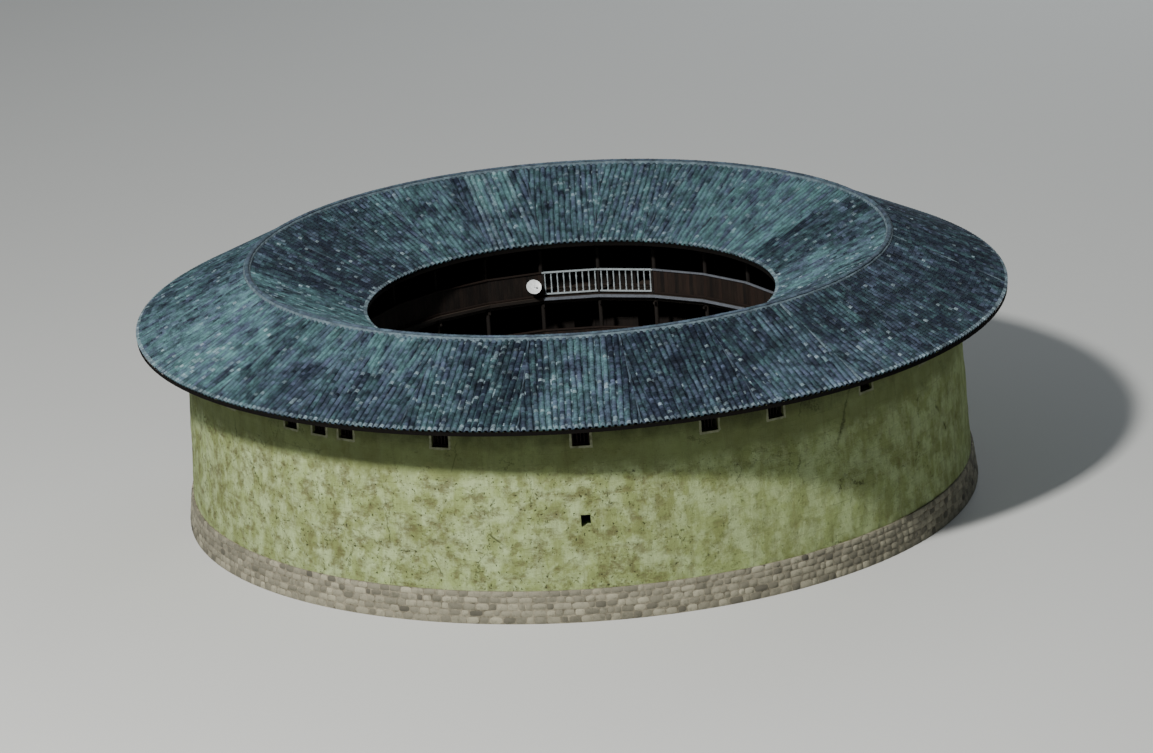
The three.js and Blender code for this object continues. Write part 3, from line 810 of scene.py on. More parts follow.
def roof_patches() -> dict[Slope, list[RoofPatch]]:
    """The patches that show in the photo, and plain weathering on the sides that it doesn't show.

    The dark patch on the inner slope at bearings 232 to 293 is painted shade. On the outer slope, the paler
    patches on the -X side and the darker ones on the +X side are partly the tiles' own lichen and tone and
    partly painted light and shade.
    """
    down, court = (12, 17.2), (7.8, 12.6)
    outer = [
        ((-112, -88), down, -0.2, 0.22, 0.1, 10),
        ((-88, -72), down, 0.02, 0.6, 0.1, 10),
        ((-72, -57), down, 0.38, 1.0, 0.1, 8),
        ((-67, -58), (14.6, 16.6), 0.2, 0.3, 0.7, 3),
        ((-57, -44), down, -0.1, 0.45, 0.1, 8),
        ((-44, -24), (12, 14.4), 0.18, 0.7, 0.1, 8),
        ((-36, -24), (14.4, 17.2), -0.06, 0.2, 0.1, 8, 0.1),
        ((-24, -14), (12, 14.4), -0.08, 0.25, 0.35, 6, 0.12),
        ((-24, -14), (14.4, 17.2), -0.2, 0.25, 0.35, 6, 0.15),
        ((-14, -5), down, -0.58, 0.1, 0.35, 4, 0.15),
        ((-5, 5), down, 0.06, 0.4, 0.25, 1.5, 0.18),
        # From here to bearing 112 the darker tones are partly painted shade on the side turned from the
        # light.
        ((7, 26), (12, 15.2), -0.42, 0.0, 0.1, 5, 0.05),
        ((7, 26), (15.2, 17.2), -0.22, 0.02, 0.2, 5, 0.08),
        ((26, 38), (12, 15.0), -0.1, 0.12, 0.12, 5),
        ((38, 52), (12, 15.0), -0.38, 0.05, 0.08, 5),
        ((26, 52), (15.0, 17.2), 0.02, 0.2, 0.2, 6, 0.05),
        ((52, 112), down, -0.36, 0.02, 0.05, 8),
    ]
    inner = [
        # Painted shade on the side of the inner slope turned from the light.
        ((232, 293), court, -0.45, 0.05, 0.08, 4),
        ((293, 300), court, 0.1, 0.5, 0.1, 4),
        ((222, 232), (7.8, 10.6), -0.06, 0.25, 0.1, 5),
        ((222, 232), (10.6, 12.6), -0.22, 0.15, 0.1, 5),
        ((203, 222), court, 0.0, 0.48, 0.05, 6),
        ((191, 200), (7.8, 10.0), -0.08, 0.35, 0.2, 1.5, 0.05),
        ((191, 199.5), (10.0, 12.4), 0.3, 1.1, 0.3, 1.0, 0.15),
        ((174, 191), court, 0.0, 0.4, 0.15, 4, 0.15),
        ((163, 180), (9.8, 12.6), -0.06, 0.0, 0.2, 2, 0.25),
        ((152, 174), court, 0.14, 0.5, 0.4, 4, 0.1),
        ((134, 150), court, 0.36, 1.0, 0.12, 8),
        ((117, 134), court, 0.5, 1.2, 0.15, 4),
        ((98, 117), court, -0.3, 0.15, 0.1, 4),
        ((86, 98), (7.8, 10.4), 0.1, 0.4, 0.1, 6),
        ((86, 98), (10.4, 12.6), -0.2, 0.25, 0.1, 6),
        ((74, 86), court, 0.14, 0.65, 0.15, 6),
        ((58, 70), (10.6, 12.6), -0.2, 0.2, 0.1, 6),
    ]
    behind = ((116, 0.05, 0.45), (152, -0.08, 0.15), (186, 0.12, 0.6), (220, -0.04, 0.3))
    outer += [((b, b + 34), down, tone, lichen, 0.2, 8) for b, tone, lichen in behind]
    near = ((-88, 0.1, 0.55), (-46, -0.06, 0.2), (-4, 0.06, 0.4), (38, -0.05, 0.25))
    inner += [((b, b + 40), court, tone, lichen, 0.2, 8) for b, tone, lichen in near]
    rows = {Slope.OUTER: outer, Slope.INNER: inner}
    return {slope: [RoofPatch(*row) for row in found] for slope, found in rows.items()}


@dataclass
class TiledRoof:
    """The two tiled slopes: channel tiles with cover tiles over their joints, on boards and rafters.

    A pale row is a bay's bearing, and how far along the ring from the bay's middle the row lies.
    """

    plan: Plan = PLAN
    row_pitch: float = 0.235
    exposure: float = 0.15
    cover_half: float = 0.086
    cover_rise: float = 0.055
    cover_turn: float = 80.0
    channel_half: float = 0.07
    channel_rise: float = 0.024
    narrowing: float = 0.93
    lip: float = 0.016
    eave_lip: float = 2.2
    tuck: float = 0.03
    joint_gap: float = 0.004
    cover_base: float = 0.01
    channel_base: float = -0.028
    board_top: float = -0.042
    board_thick: float = 0.012
    board_width: float = 0.28
    rafter_width: float = 0.09
    rafter_bottom: float = -0.178
    sectors: int = 4
    ridge_hold: float = 0.05
    pale_joints: tuple[float, ...] = (37.5, 82.5)
    pale_rows: dict[Slope, tuple[Pair, ...]] = field(
        default_factory=lambda: {
            Slope.OUTER: ((0.0, -1.41), (0.0, -0.7), (0.0, 0.35)),
            Slope.INNER: ((195.0, -0.82), (195.0, 0.12), (195.0, 0.6), (195.0, 0.82)),
        }
    )
    patches: dict[Slope, list[RoofPatch]] = field(default_factory=roof_patches)

    @property
    def pitch(self) -> float:
        """The angle of the slopes in radians."""
        return atan(self.plan.slope)

    def edge_r(self, slope: Slope) -> float:
        """The radius of a slope's eave."""
        return self.plan.eave_r if slope is Slope.OUTER else self.plan.court_eave_r

    def length(self, slope: Slope) -> float:
        """How long a slope is from its eave to the ridge."""
        return abs(self.edge_r(slope) - self.plan.ridge_r) / cos(self.pitch) - self.ridge_hold

    def distance(self, slope: Slope, x: Any, up: Any) -> Any:
        """How far from the middle, along a bay's own direction, a spot on a slope lies."""
        return np.sqrt(self.edge_r(slope) ** 2 - np.square(x)) - slope.value * up * cos(self.pitch)

    def on_slope(self, slope: Slope, x: Array, up: Array, height: Array) -> Array:
        """Places points on the round slope within the bay at bearing 0.

        Args:
            slope: the slope.
            x: how far along the ring from the bay's middle.
            up: how far up the slope from the eave.
            height: how far out of the slope's mean face.

        Returns:
            Places with a last axis of three, kept inside the bay's own wedge.
        """
        d = self.distance(slope, x, up)
        limit = self.plan.half_width(d) - self.joint_gap
        x = np.clip(x, -limit, limit)
        r = np.hypot(x, d)
        z = self.plan.roof_top(r) + height * cos(self.pitch)
        push = 1 + slope.value * height * sin(self.pitch) / r
        if slope is Slope.OUTER:
            push = np.minimum(push, (self.plan.eave_r + 0.01) / r)
        return np.stack([x * push, -d * push, z], axis=-1)

    def rows(self) -> Array:
        """Where the rows of cover tiles lie in a bay, with the joint of two of them at its middle."""
        reach = int(self.plan.half_width(self.plan.eave_r) / self.row_pitch) + 2
        return (np.arange(-reach, reach) + 0.5) * self.row_pitch

    def section(self, covers: bool) -> tuple[Array, Array, float, float]:
        """A tile's cross section.

        Args:
            covers: whether it is a cover tile.

        Returns:
            Its points across, their rise, the height of its bed, and how far its lower end is lifted.
        """
        if not covers:
            half, rise = self.channel_half, self.channel_rise
            return np.array([-half, 0.0, half]), np.array([rise, 0.0, rise]), self.channel_base, 0.01
        turn = np.radians(np.linspace(-self.cover_turn, self.cover_turn, 5))
        end = cos(turn[-1])
        across = np.sin(turn) / sin(turn[-1]) * self.cover_half
        return across, (np.cos(turn) - end) / (1 - end) * self.cover_rise, self.cover_base, 0.012

    def lay(self, draft: Draft, slope: Slope, bearing: float, covers: bool) -> None:
        """Lays the cover tiles or the channel tiles of one bay, each a little out of line.

        Args:
            draft: the piece they go to.
            slope: the slope.
            bearing: the bay's bearing.
            covers: whether these are the cover tiles.
        """
        rng, length, exposure = draft.random, self.length(slope), self.exposure
        rows = self.rows() + (0.0 if covers else self.row_pitch / 2)
        across, arch, base, lift = self.section(covers)
        u, k = (g.ravel() for g in np.meshgrid(rows, np.arange(ceil(length / exposure)), indexing="ij"))
        narrow = np.minimum(*(self.distance(slope, u, (k + end) * exposure) for end in (0, 1)))
        fits = np.abs(u) - across[-1] < self.plan.half_width(narrow) - 0.02
        u, k = u[fits][:, None], k[fits][:, None]
        n = (len(u), 1)
        low = np.where(k == 0, 0.0, k * exposure + rng.normal(0, 0.006, n))
        high = np.minimum((k + 1) * exposure + self.tuck, length)
        wander = rng.normal(0, 0.0045, n) + 0.012 * np.sin(k * 0.21 + u * 3.0)
        skew = rng.normal(0, 0.0018, n)
        sit = np.clip(rng.normal(0, 0.002, n), -0.004, 0.004)
        x_low = u + across + (wander - skew)
        x_high = u + across * self.narrowing + (wander + skew)
        h_low = base + arch + (lift + sit)
        h_high = base + arch + (sit - 0.002)
        drop = np.where(k == 0, self.eave_lip, 1.0) * self.lip
        edge = self.on_slope(slope, x_low, low, h_low)
        back = self.on_slope(slope, x_high, high, h_high)
        under = self.on_slope(slope, x_low, low + 0.004, h_low - drop)
        columns = len(across)
        cells = lattice_faces(2, columns, flip=slope is Slope.INNER)
        single = np.concatenate([cells, cells + 2 * columns])
        faces = (single[None] + (np.arange(len(u)) * 4 * columns)[:, None, None]).reshape(-1, 4)
        looks = self.weather(slope, bearing, u[:, 0], k[:, 0], covers, rng)
        numbers = {name: np.repeat(value, len(single)) for name, value in looks.items()}
        points = np.stack([edge, back, under, edge], axis=1).reshape(-1, 3)
        x, y = points[:, 0], points[:, 1]
        round_at = (np.arctan2(x, -y) + radians(bearing)) * self.plan.ridge_r
        sheet = 50.0 if slope is Slope.OUTER else 0.0
        own = np.stack([round_at, np.hypot(x, y), np.full(len(x), sheet)], axis=1)
        draft.add(turned_to(points, bearing), faces, own, **numbers)

    def weather(
        self, slope: Slope, bearing: float, u: Any, k: Any, covers: bool, rng: Any
    ) -> dict[str, Array]:
        """Works out how each tile has weathered, and the painted light and shade in its tone.

        Args:
            slope: the slope.
            bearing: the bay's bearing.
            u: the tile's place along the ring.
            k: the tile's course, from the eave up.
            covers: whether these are the cover tiles.
            rng: the piece's random draws.

        Returns:
            Each tile's tone, lichen and bleaching, from 0 to 1.
        """
        distance = self.distance(slope, u, k * self.exposure)
        at, radius = bearing + np.degrees(np.arctan2(u, distance)), np.hypot(u, distance)
        n, most_rows, most_pairs, most_runs = len(u), 80, 80, 16
        row = np.round(u / self.row_pitch).astype(int) + most_rows // 2
        pair_tone = rng.normal(0, 0.18, (most_rows, most_pairs))[row, k // 2]
        run_tone = rng.normal(0, 0.13, (most_rows, most_runs))[row, k // 7]
        # Channel tiles start darker than cover tiles: painted shade in the hollows between the rows.
        tone = (0.38 if covers else 0.15) + rng.normal(0, 0.14, n) + pair_tone + run_tone
        lichen = 0.12 + rng.normal(0, 0.1, n) + rng.normal(0, 0.11, (most_rows, most_runs))[row, k // 9]
        bleach = np.zeros(n)
        drift = np.sin(at * 0.9 + radius * 2.1) * 1.4 + np.sin(at * 0.23 - radius) * 2.0
        for patch in self.patches[slope]:
            share = patch.share(at + drift * min(1.0, patch.soft / 4), radius)
            # Stripes are painted light on the cover tiles and painted shade on the channel tiles.
            tone += (patch.tone + patch.row_light_and_shade * (1 if covers else -1)) * share
            lichen += patch.lichen * share
            bleach += patch.bleach * share
        chance = rng.random(n)
        tone += np.where(chance < 0.06, 0.4, 0.0) - np.where(chance > 0.88, 0.3, 0.0)
        bleach = np.where(rng.random(n) < 0.01 + 0.25 * bleach, 0.2 + 0.5 * rng.random(n), 0.0)
        bleach += np.where(k == 0, 0.15 + 0.5 * rng.random(n), 0.0) * covers
        for row_bearing, x in self.pale_rows[slope]:
            if row_bearing == bearing and covers:
                strength = (0.3 if slope is Slope.OUTER else 0.08) + 0.3 * rng.random(n)
                bleach += np.where(np.abs(u - x) < self.row_pitch / 2, strength, 0.0)
        return {"tone": np.clip(tone, 0, 1), "lichen": np.clip(lichen, 0, 1), "bleach": np.clip(bleach, 0, 1)}

    def plank(
        self, draft: Draft, slope: Slope, bearing: float, xs: Any, ups: Pair, heights: Pair, grain: Grain
    ) -> None:
        """Adds a closed strip that follows the round slope.

        Args:
            draft: the piece it goes to.
            slope: the slope.
            bearing: the bay's bearing.
            xs: its cross sections along the ring.
            ups: where it starts and ends up the slope.
            heights: its underside and its top.
            grain: along the ring, or inward up the slope.
        """
        x = np.repeat(np.array(xs, float), 4)
        up = np.tile([*ups, *ups[::-1]], len(xs))
        h = np.tile(np.repeat(heights, 2), len(xs))
        faces = tube_faces(len(xs), 4)
        if slope is Slope.OUTER:
            faces = [f[::-1] for f in faces]
        own = np.stack([up, x, h] if grain is Grain.INWARD else [x, up, h], axis=1)
        own += draft.random.uniform(0, 40, 3)
        shape = turned_to(self.on_slope(slope, x, up, h), bearing)
        draft.add(shape, faces, own, tone=float(draft.random.uniform(0.2, 0.8)))

    def undersides(self, slope: Slope) -> None:
        """Builds the boards, rafters and eave board of one slope."""
        p, length = self.plan, self.length(slope)
        word, seeds = ("outer", (31, 41)) if slope is Slope.OUTER else ("court", (37, 43))
        boards, rafters = (Draft(seed) for seed in seeds)
        bottom = self.board_top - self.board_thick
        wide = p.half_width(p.eave_r) + 0.1
        for bearing in p.centres:
            for s in range(ceil(length / self.board_width)):
                ups = (s * self.board_width + 0.014, min((s + 1) * self.board_width - 0.004, length))
                xs = np.linspace(-wide, wide, 5)
                self.plank(boards, slope, bearing, xs, ups, (bottom, self.board_top), Grain.ALONG)
            for u in self.rows():
                reach = (abs(u) + self.rafter_width / 2 + 0.02) / tan(p.half_bay)
                cut = (float(self.distance(slope, u, 0.0)) - reach) / cos(self.pitch)
                start, stop = (0.03, min(length, cut)) if slope is Slope.OUTER else (max(0.03, -cut), length)
                if stop - start > 0.3:
                    xs = (u - self.rafter_width / 2, u + self.rafter_width / 2)
                    heights = (self.rafter_bottom, bottom - 0.0005)
                    self.plank(rafters, slope, bearing, xs, (start, stop), heights, Grain.INWARD)
        # The eave board is near black: painted shade under the eave.
        edge, steps = self.edge_r(slope), 144
        a = np.arange(steps) * 2 * pi / steps
        insets = np.array([[0.012], [0.012], [0.03], [0.03]])
        drops = np.array([[0.195], [0.06], [0.06], [0.195]])
        rings = round_places(edge - slope.value * insets, a, p.roof_top(edge) - drops)
        rafters.add(rings, lattice_faces(4, steps, slope is Slope.INNER, True, True))
        boards.finish(f"roofing_boards_{word}", SOOTY_AND_SHADED_FIR, smooth=None)
        rafters.finish(f"rafters_{word}", SOOTY_AND_SHADED_FIR, smooth=30.0)

    def build(self) -> None:
        """Lays all tiles, sector by sector, and builds what carries them."""
        per_sector = self.plan.bays // self.sectors
        for slope, word, seed in ((Slope.OUTER, "outer", 110), (Slope.INNER, "inner", 100)):
            for i in range(self.sectors):
                draft = Draft(seed + i)
                for bay in range(per_sector):
                    bearing = (i * per_sector + bay + 1) * 360.0 / self.plan.bays
                    self.lay(draft, slope, bearing, covers=False)
                    self.lay(draft, slope, bearing, covers=True)
                draft.finish(f"tiles_{word}_{i + 1}", ROOF_TILE, [f"roof_{word}_{i + 1}"], smooth=50.0)
            self.undersides(slope)
        for pale, name, lime, half, seed in (
            (True, "pale_roof_joints", RIDGE_LIME, 0.06, 53),
            (False, "roof_joints", JOINT_LIME, 0.045, 54),
        ):
            draft = Draft(seed)
            for bearing, slope in [(b, s) for b in self.plan.lines for s in Slope]:
                if (slope is Slope.OUTER and bearing in self.pale_joints) == pale:
                    self.joint(draft, bearing, slope, half)
            draft.finish(name, lime)

    def joint(self, draft: Draft, bearing: float, slope: Slope, half: float) -> None:
        """Beds one rough mortar line up a slope.

        Args:
            draft: the piece it goes to.
            bearing: the line's bearing.
            slope: the slope.
            half: half of its width.
        """
        steps = 36
        up = np.linspace(0.02, self.length(slope) - 0.02, steps)
        rough = draft.random.normal(0, 0.005, (steps, 5))
        r = (self.edge_r(slope) - slope.value * up * cos(self.pitch))[:, None]
        across = np.array([-1.0, -0.6, 0.0, 0.6, 1.0]) * half
        heights = np.array([-0.02, 0.05, 0.066, 0.05, -0.02])
        z = self.plan.roof_top(r) + heights + rough * 0.8
        rows = [across[None, :] + rough, np.repeat(-r, 5, axis=1), z]
        faces = lattice_faces(steps, 5, slope is Slope.INNER)
        draft.add(turned_to(np.stack(rows, axis=-1), bearing), faces)


@dataclass
class Ridge:
    """The ridge: a lime bed over the meeting of the slopes, and half-round tiles laid along it."""

    plan: Plan = PLAN
    tile_length: float = 0.24
    exposure: float = 0.19
    half: float = 0.085
    rise: float = 0.05
    steps: int = 432

    def build(self) -> None:
        """Builds the bed and the row of tiles."""
        p, bed, tiles = self.plan, Draft(61), Draft(62)
        crest = p.crown_top - self.rise - 0.014
        offsets = np.array([-0.15, -0.14, -0.11, -0.06, 0.0, 0.06, 0.11, 0.14, 0.15])
        drops = np.array([-0.13, -0.062, -0.03, -0.008, 0.0, -0.008, -0.03, -0.062, -0.13])
        a = np.linspace(0, 2 * pi, self.steps + 1)[:-1]
        rough = np.array(
            [[noise.noise(Vector((sin(t) * 40, cos(t) * 40, o * 12))) for o in offsets] for t in a]
        )
        r = p.ridge_r + offsets[None, :] + rough * 0.012
        z = crest + drops[None, :] + rough * 0.012 - 0.006
        bed.add(round_places(r, a[:, None], z), lattice_faces(self.steps, len(offsets), ring_rows=True))
        count = round(2 * pi * p.ridge_r / self.exposure)
        turn = np.radians(np.linspace(-85, 85, 7))
        grid = lattice_faces(2, 7, flip=True)
        for i in range(count):
            wobble = tiles.random.normal(0, 0.004, 2)
            rows = []
            for x_at, lift in ((-self.exposure / 2, 0.012), (self.tile_length - self.exposure / 2, 0.0)):
                y = -p.ridge_r + self.half * np.sin(turn) + wobble[0]
                z = crest - 0.004 + self.rise * np.cos(turn) + lift - abs(wobble[1])
                rows.append(np.stack([np.full(7, x_at), y, z], axis=1))
            under = rows[0] - np.array([0.002, 0, 0.012])
            shape = turned_to(np.concatenate([*rows, under, rows[0]]), i * 360.0 / count)
            faces = np.concatenate([grid, grid + 14])
            tiles.add(shape, faces, tone=tiles.drawn(0.15), lichen=0.25, bleach=0.08)
        bed.finish("ridge_lime_bed", RIDGE_LIME, ["ridge_cap"])
        tiles.finish("ridge_tiles", ROOF_TILE, smooth=50.0)


@dataclass(frozen=True)
class Opening:
    """An opening in the earth wall: its bearing, its width, and the heights of its sill and its head."""

    bearing: float
    width: float
    sill: float
    head: float

    @property
    def sides(self) -> list[tuple[Pair, Pair]]:
        """Its four sides from corner to corner, along the ring and up, from the sill round."""
        half = self.width / 2
        ends = [(-half, self.sill), (half, self.sill), (half, self.head), (-half, self.head)]
        return list(zip(ends, ends[1:] + ends[:1]))

    def half_angle(self, radius: float) -> float:
        """Half of its width as an angle in degrees at a radius."""
        return degrees(asin(self.width / 2 / radius))


def wall_openings() -> list[Opening]:
    """The windows, as the photo shows them in front and one to a bay behind, and the loopholes."""
    front = [-39.5, -34.7, -19.8, 0.0, 18.2, 28.4]
    rest = [c for c in PLAN.centres if 45 <= c <= 315]
    windows = [Opening(b, 0.65, 6.6, 7.45) for b in front + rest]
    return windows + [Opening(b, 0.35, 3.55, 4.0) for b in (0, 90, 180, 270)]


@dataclass
class EarthWall:
    """The rammed-earth wall, with the windows and loopholes through it and their joinery.

    The cell is the distance between points of the uneven outer face, and worn is how far it is worn back.
    """

    plan: Plan = PLAN
    foot_r: float = 15.3
    head_r: float = 15.0
    opening_r: float = 15.05
    gate_r: float = 15.25
    low: float = 1.2
    high: float = 8.5
    cell: float = 0.12
    worn: float = 0.012
    bar: float = 0.034
    bar_pitch: float = 0.13
    openings: list[Opening] = field(default_factory=wall_openings)

    def face_r(self, z: Any) -> Any:
        """The outer face's radius at a height."""
        return self.foot_r + (self.head_r - self.foot_r) * (z - self.low) / (self.high - self.low)

    def inner_r(self, bearing: Any) -> Any:
        """The inner face's distance at a bearing, straight inside each bay."""
        bay = 360.0 / self.plan.bays
        off = (bearing + bay / 2) % bay - bay / 2
        return self.plan.wall_inner_r * self.plan.facet / np.cos(np.radians(off))

    def unevenness(self, bearing: float, z: float) -> float:
        """Works out how far the worn face stands off its true line, calmly beside an opening.

        Args:
            bearing: the spot's bearing.
            z: its height.

        Returns:
            A distance in metres, negative where the face is worn back.
        """
        a = radians(bearing)
        at = Vector((15 * sin(a), -15 * cos(a), z))
        broad = noise.fractal(at * 0.6, 1.0, 2.0, 3) * 0.022
        upright = noise.fractal(Vector((at.x * 2.6, at.y * 2.6, z * 0.5)), 1.0, 2.1, 4) * 0.016
        lumps = noise.turbulence(at * 3.4, 3, False) * 0.014
        calm = 1.0
        for o in self.openings:
            away = bearings_apart(bearing, o.bearing) * radians(1) * 15 - o.width / 2
            apart = max(away, o.sill - z, z - o.head)
            calm = min(calm, max(0.0, min(1.0, (apart + 0.02) / 0.35)))
        return (broad + upright - lumps) * calm - self.worn

    def grid(self) -> tuple[Array, Array, list[float]]:
        """Lays out the wall's grid, with lines moved to the sides of each opening.

        Returns:
            The bearings, the heights, and the heights at which an opening starts or ends.
        """
        count = round(2 * pi * self.foot_r / self.cell)
        angles = np.arange(count) * 360.0 / count
        gate = degrees(asin(self.plan.gate_half / self.gate_r))
        edges = [self.plan.gate_bearing - gate, self.plan.gate_bearing + gate]
        for o in self.openings:
            edges += [o.bearing - o.half_angle(self.opening_r), o.bearing + o.half_angle(self.opening_r)]
        for e in edges:
            angles[int(round((e % 360) / 360.0 * count)) % count] = e % 360
        levels = np.linspace(self.low, self.high, round((self.high - self.low) / self.cell) + 1)
        marks = sorted({v for o in self.openings for v in (o.sill, o.head)} | {self.plan.gate_top})
        for m in marks:
            levels[np.argmin(np.abs(levels - m))] = m
        return angles, levels, marks

    def build(self) -> None:
        """Builds the wall's faces, the reveals and the window joinery."""
        draft = Draft(71)
        angles, levels, marks = self.grid()
        a, middles = np.radians(angles), (angles + np.append(angles[1:], angles[0] + 360)) / 2
        worn = np.array([[self.face_r(z) + self.unevenness(b, z) for b in angles] for z in levels])
        straight = np.tile(self.inner_r(angles), (len(marks) + 2, 1))
        skins, few = [], np.array([self.low, *marks, self.high])
        for z, radius, inside in ((levels, worn, False), (few, straight, True)):
            shape = round_places(radius, a, z[:, None])
            solid = ~self.is_open(middles, (z[:-1] + z[1:])[:, None] / 2)
            draft.add(shape, lattice_faces(len(z), len(a), inside, ring_columns=True)[solid.ravel()])
            skins.append(shape)
        foot = ~self.is_open(middles, self.low + 0.01)
        for row, keep in ((0, foot), (-1, foot | True)):
            lid = lattice_faces(2, len(a), row == 0, ring_columns=True)
            draft.add(np.stack([skin[row] for skin in skins]), lid[keep])
        for o in self.openings:
            self.reveal(draft, o)
        self.gate_reveal(draft)
        walls = [f"earth_wall_{i}" for i in range(1, 9)] + ["earth_wall_over_gate"]
        draft.finish("rammed_earth_wall", EARTH, walls, smooth=60.0)
        self.joinery()

    def is_open(self, bearing: Array, z: Any) -> Array:
        """Finds the spots on the wall that lie in an opening.

        Args:
            bearing: the spots' bearings.
            z: their heights, for all of them or row by row.

        Returns:
            Whether each spot is open.
        """
        gate = degrees(asin(self.plan.gate_half / self.gate_r))
        found = (bearings_apart(bearing, self.plan.gate_bearing) < gate) & (z < self.plan.gate_top)
        for o in self.openings:
            near = bearings_apart(bearing, o.bearing) < o.half_angle(self.opening_r)
            found |= near & (z > o.sill) & (z < o.head)
        return found

    def reveal(self, draft: Draft, o: Opening) -> None:
        """Lines the four sides of an opening from the outer face to the inner one."""
        depth, part = np.linspace(0, 1, 7)[:, None], np.linspace(0, 1, 6)
        inner = self.inner_r(o.bearing) - 0.02
        for (x0, z0), (x1, z1) in o.sides:
            x, z = x0 + (x1 - x0) * part, z0 + (z1 - z0) * part
            out = np.sqrt(np.maximum((self.face_r(z) - self.worn) ** 2 - x**2, 0))
            y = -(out + (inner - out) * depth)
            rough = draft.random.normal(0, 0.006, y.shape) * np.sin(depth * pi)
            shape = np.stack([x + rough * (z0 != z1), y, z + rough * (x0 != x1)], axis=-1)
            draft.add(turned_to(shape, o.bearing), lattice_faces(7, 6))

    def gate_reveal(self, draft: Draft) -> None:
        """Closes the wall's ends beside the gate and its underside over it."""
        x, top, bearing = self.plan.gate_half, self.plan.gate_top, self.plan.gate_bearing
        levels = np.linspace(self.low, top, 5)
        out = np.sqrt(self.face_r(levels) ** 2 - x * x) - self.worn
        lines = [zip(r, levels) for r in ([14.0] * 5, [14.6] * 5, out)]
        reveal = np.array([[(x, -r, z) for r, z in line] for line in lines])
        for side in (-1, 1):
            shape = reveal * (side, 1, 1)
            draft.add(turned_to(shape, bearing), lattice_faces(3, 5, side > 0))
        under = np.array([[(s * x, -r, top) for s in (-1, 0, 1)] for r in (13.99, 15.22)])
        draft.add(turned_to(under, bearing), lattice_faces(2, 3, flip=True))

    def joinery(self) -> None:
        """Sets a frame with upright bars in each window, and a limewashed border round it."""
        frames, borders, frame_width = Draft(73), Draft(74), 0.06
        inset = frame_width / 2 + 0.002
        for o in [o for o in self.openings if o.sill > self.plan.third_floor]:
            y, mid, tall = -(self.face_r(o.sill) - 0.2), (o.sill + o.head) / 2, o.head - o.sill
            for s in (-1, 1):
                stile = (frame_width, 0.08, tall - 0.004)
                frames.beam((s * (o.width / 2 - inset), y, mid), stile, o.bearing, Grain.UP, 0.004)
            for z in (o.sill + inset, o.head - inset):
                frames.beam((0, y, z), (o.width - 0.004, 0.085, frame_width), o.bearing, chamfer=0.004)
            for i in (-1, 0, 1):
                bar = (self.bar, self.bar, tall - 0.13)
                frames.beam((i * self.bar_pitch, y, mid), bar, o.bearing, Grain.UP, 0.003)
            self.border(borders, o)
        frames.finish("window_frames", BROWN_FIR)
        borders.finish("window_borders", SHADED_LIMEWASH)

    def border(self, draft: Draft, o: Opening, wide: float = 0.085, proud: float = 0.006) -> None:
        """Spreads a rough band of lime plaster round a window.

        Args:
            draft: the piece it goes to.
            o: the window.
            wide: the band's width.
            proud: how far it stands off the wall.
        """
        part = (np.arange(8) / 8)[:, None]
        inner = np.concatenate([start + (stop - start) * part for start, stop in np.array(o.sides)])
        half = np.array([o.width / 2, (o.head - o.sill) / 2])
        mid = np.array([0.0, (o.sill + o.head) / 2])
        ragged = 1 + draft.random.normal(0, 0.02, (len(inner), 1))
        outer = mid + (inner - mid) * ((half + wide) / half) * ragged
        outer[:, 1] = np.minimum(outer[:, 1], self.high - 0.2)
        rings = []
        for (x, z), off in ((inner.T, -0.02), (inner.T, proud), (outer.T, proud), (outer.T, -0.03)):
            y = -np.sqrt((self.face_r(z) - self.worn + off) ** 2 - x**2)
            rings.append(np.stack([x, y, z], axis=1))
        faces = lattice_faces(len(rings), len(inner), ring_columns=True)[:, [0, 3, 2, 1]]
        draft.add(turned_to(np.array(rings), o.bearing), faces)


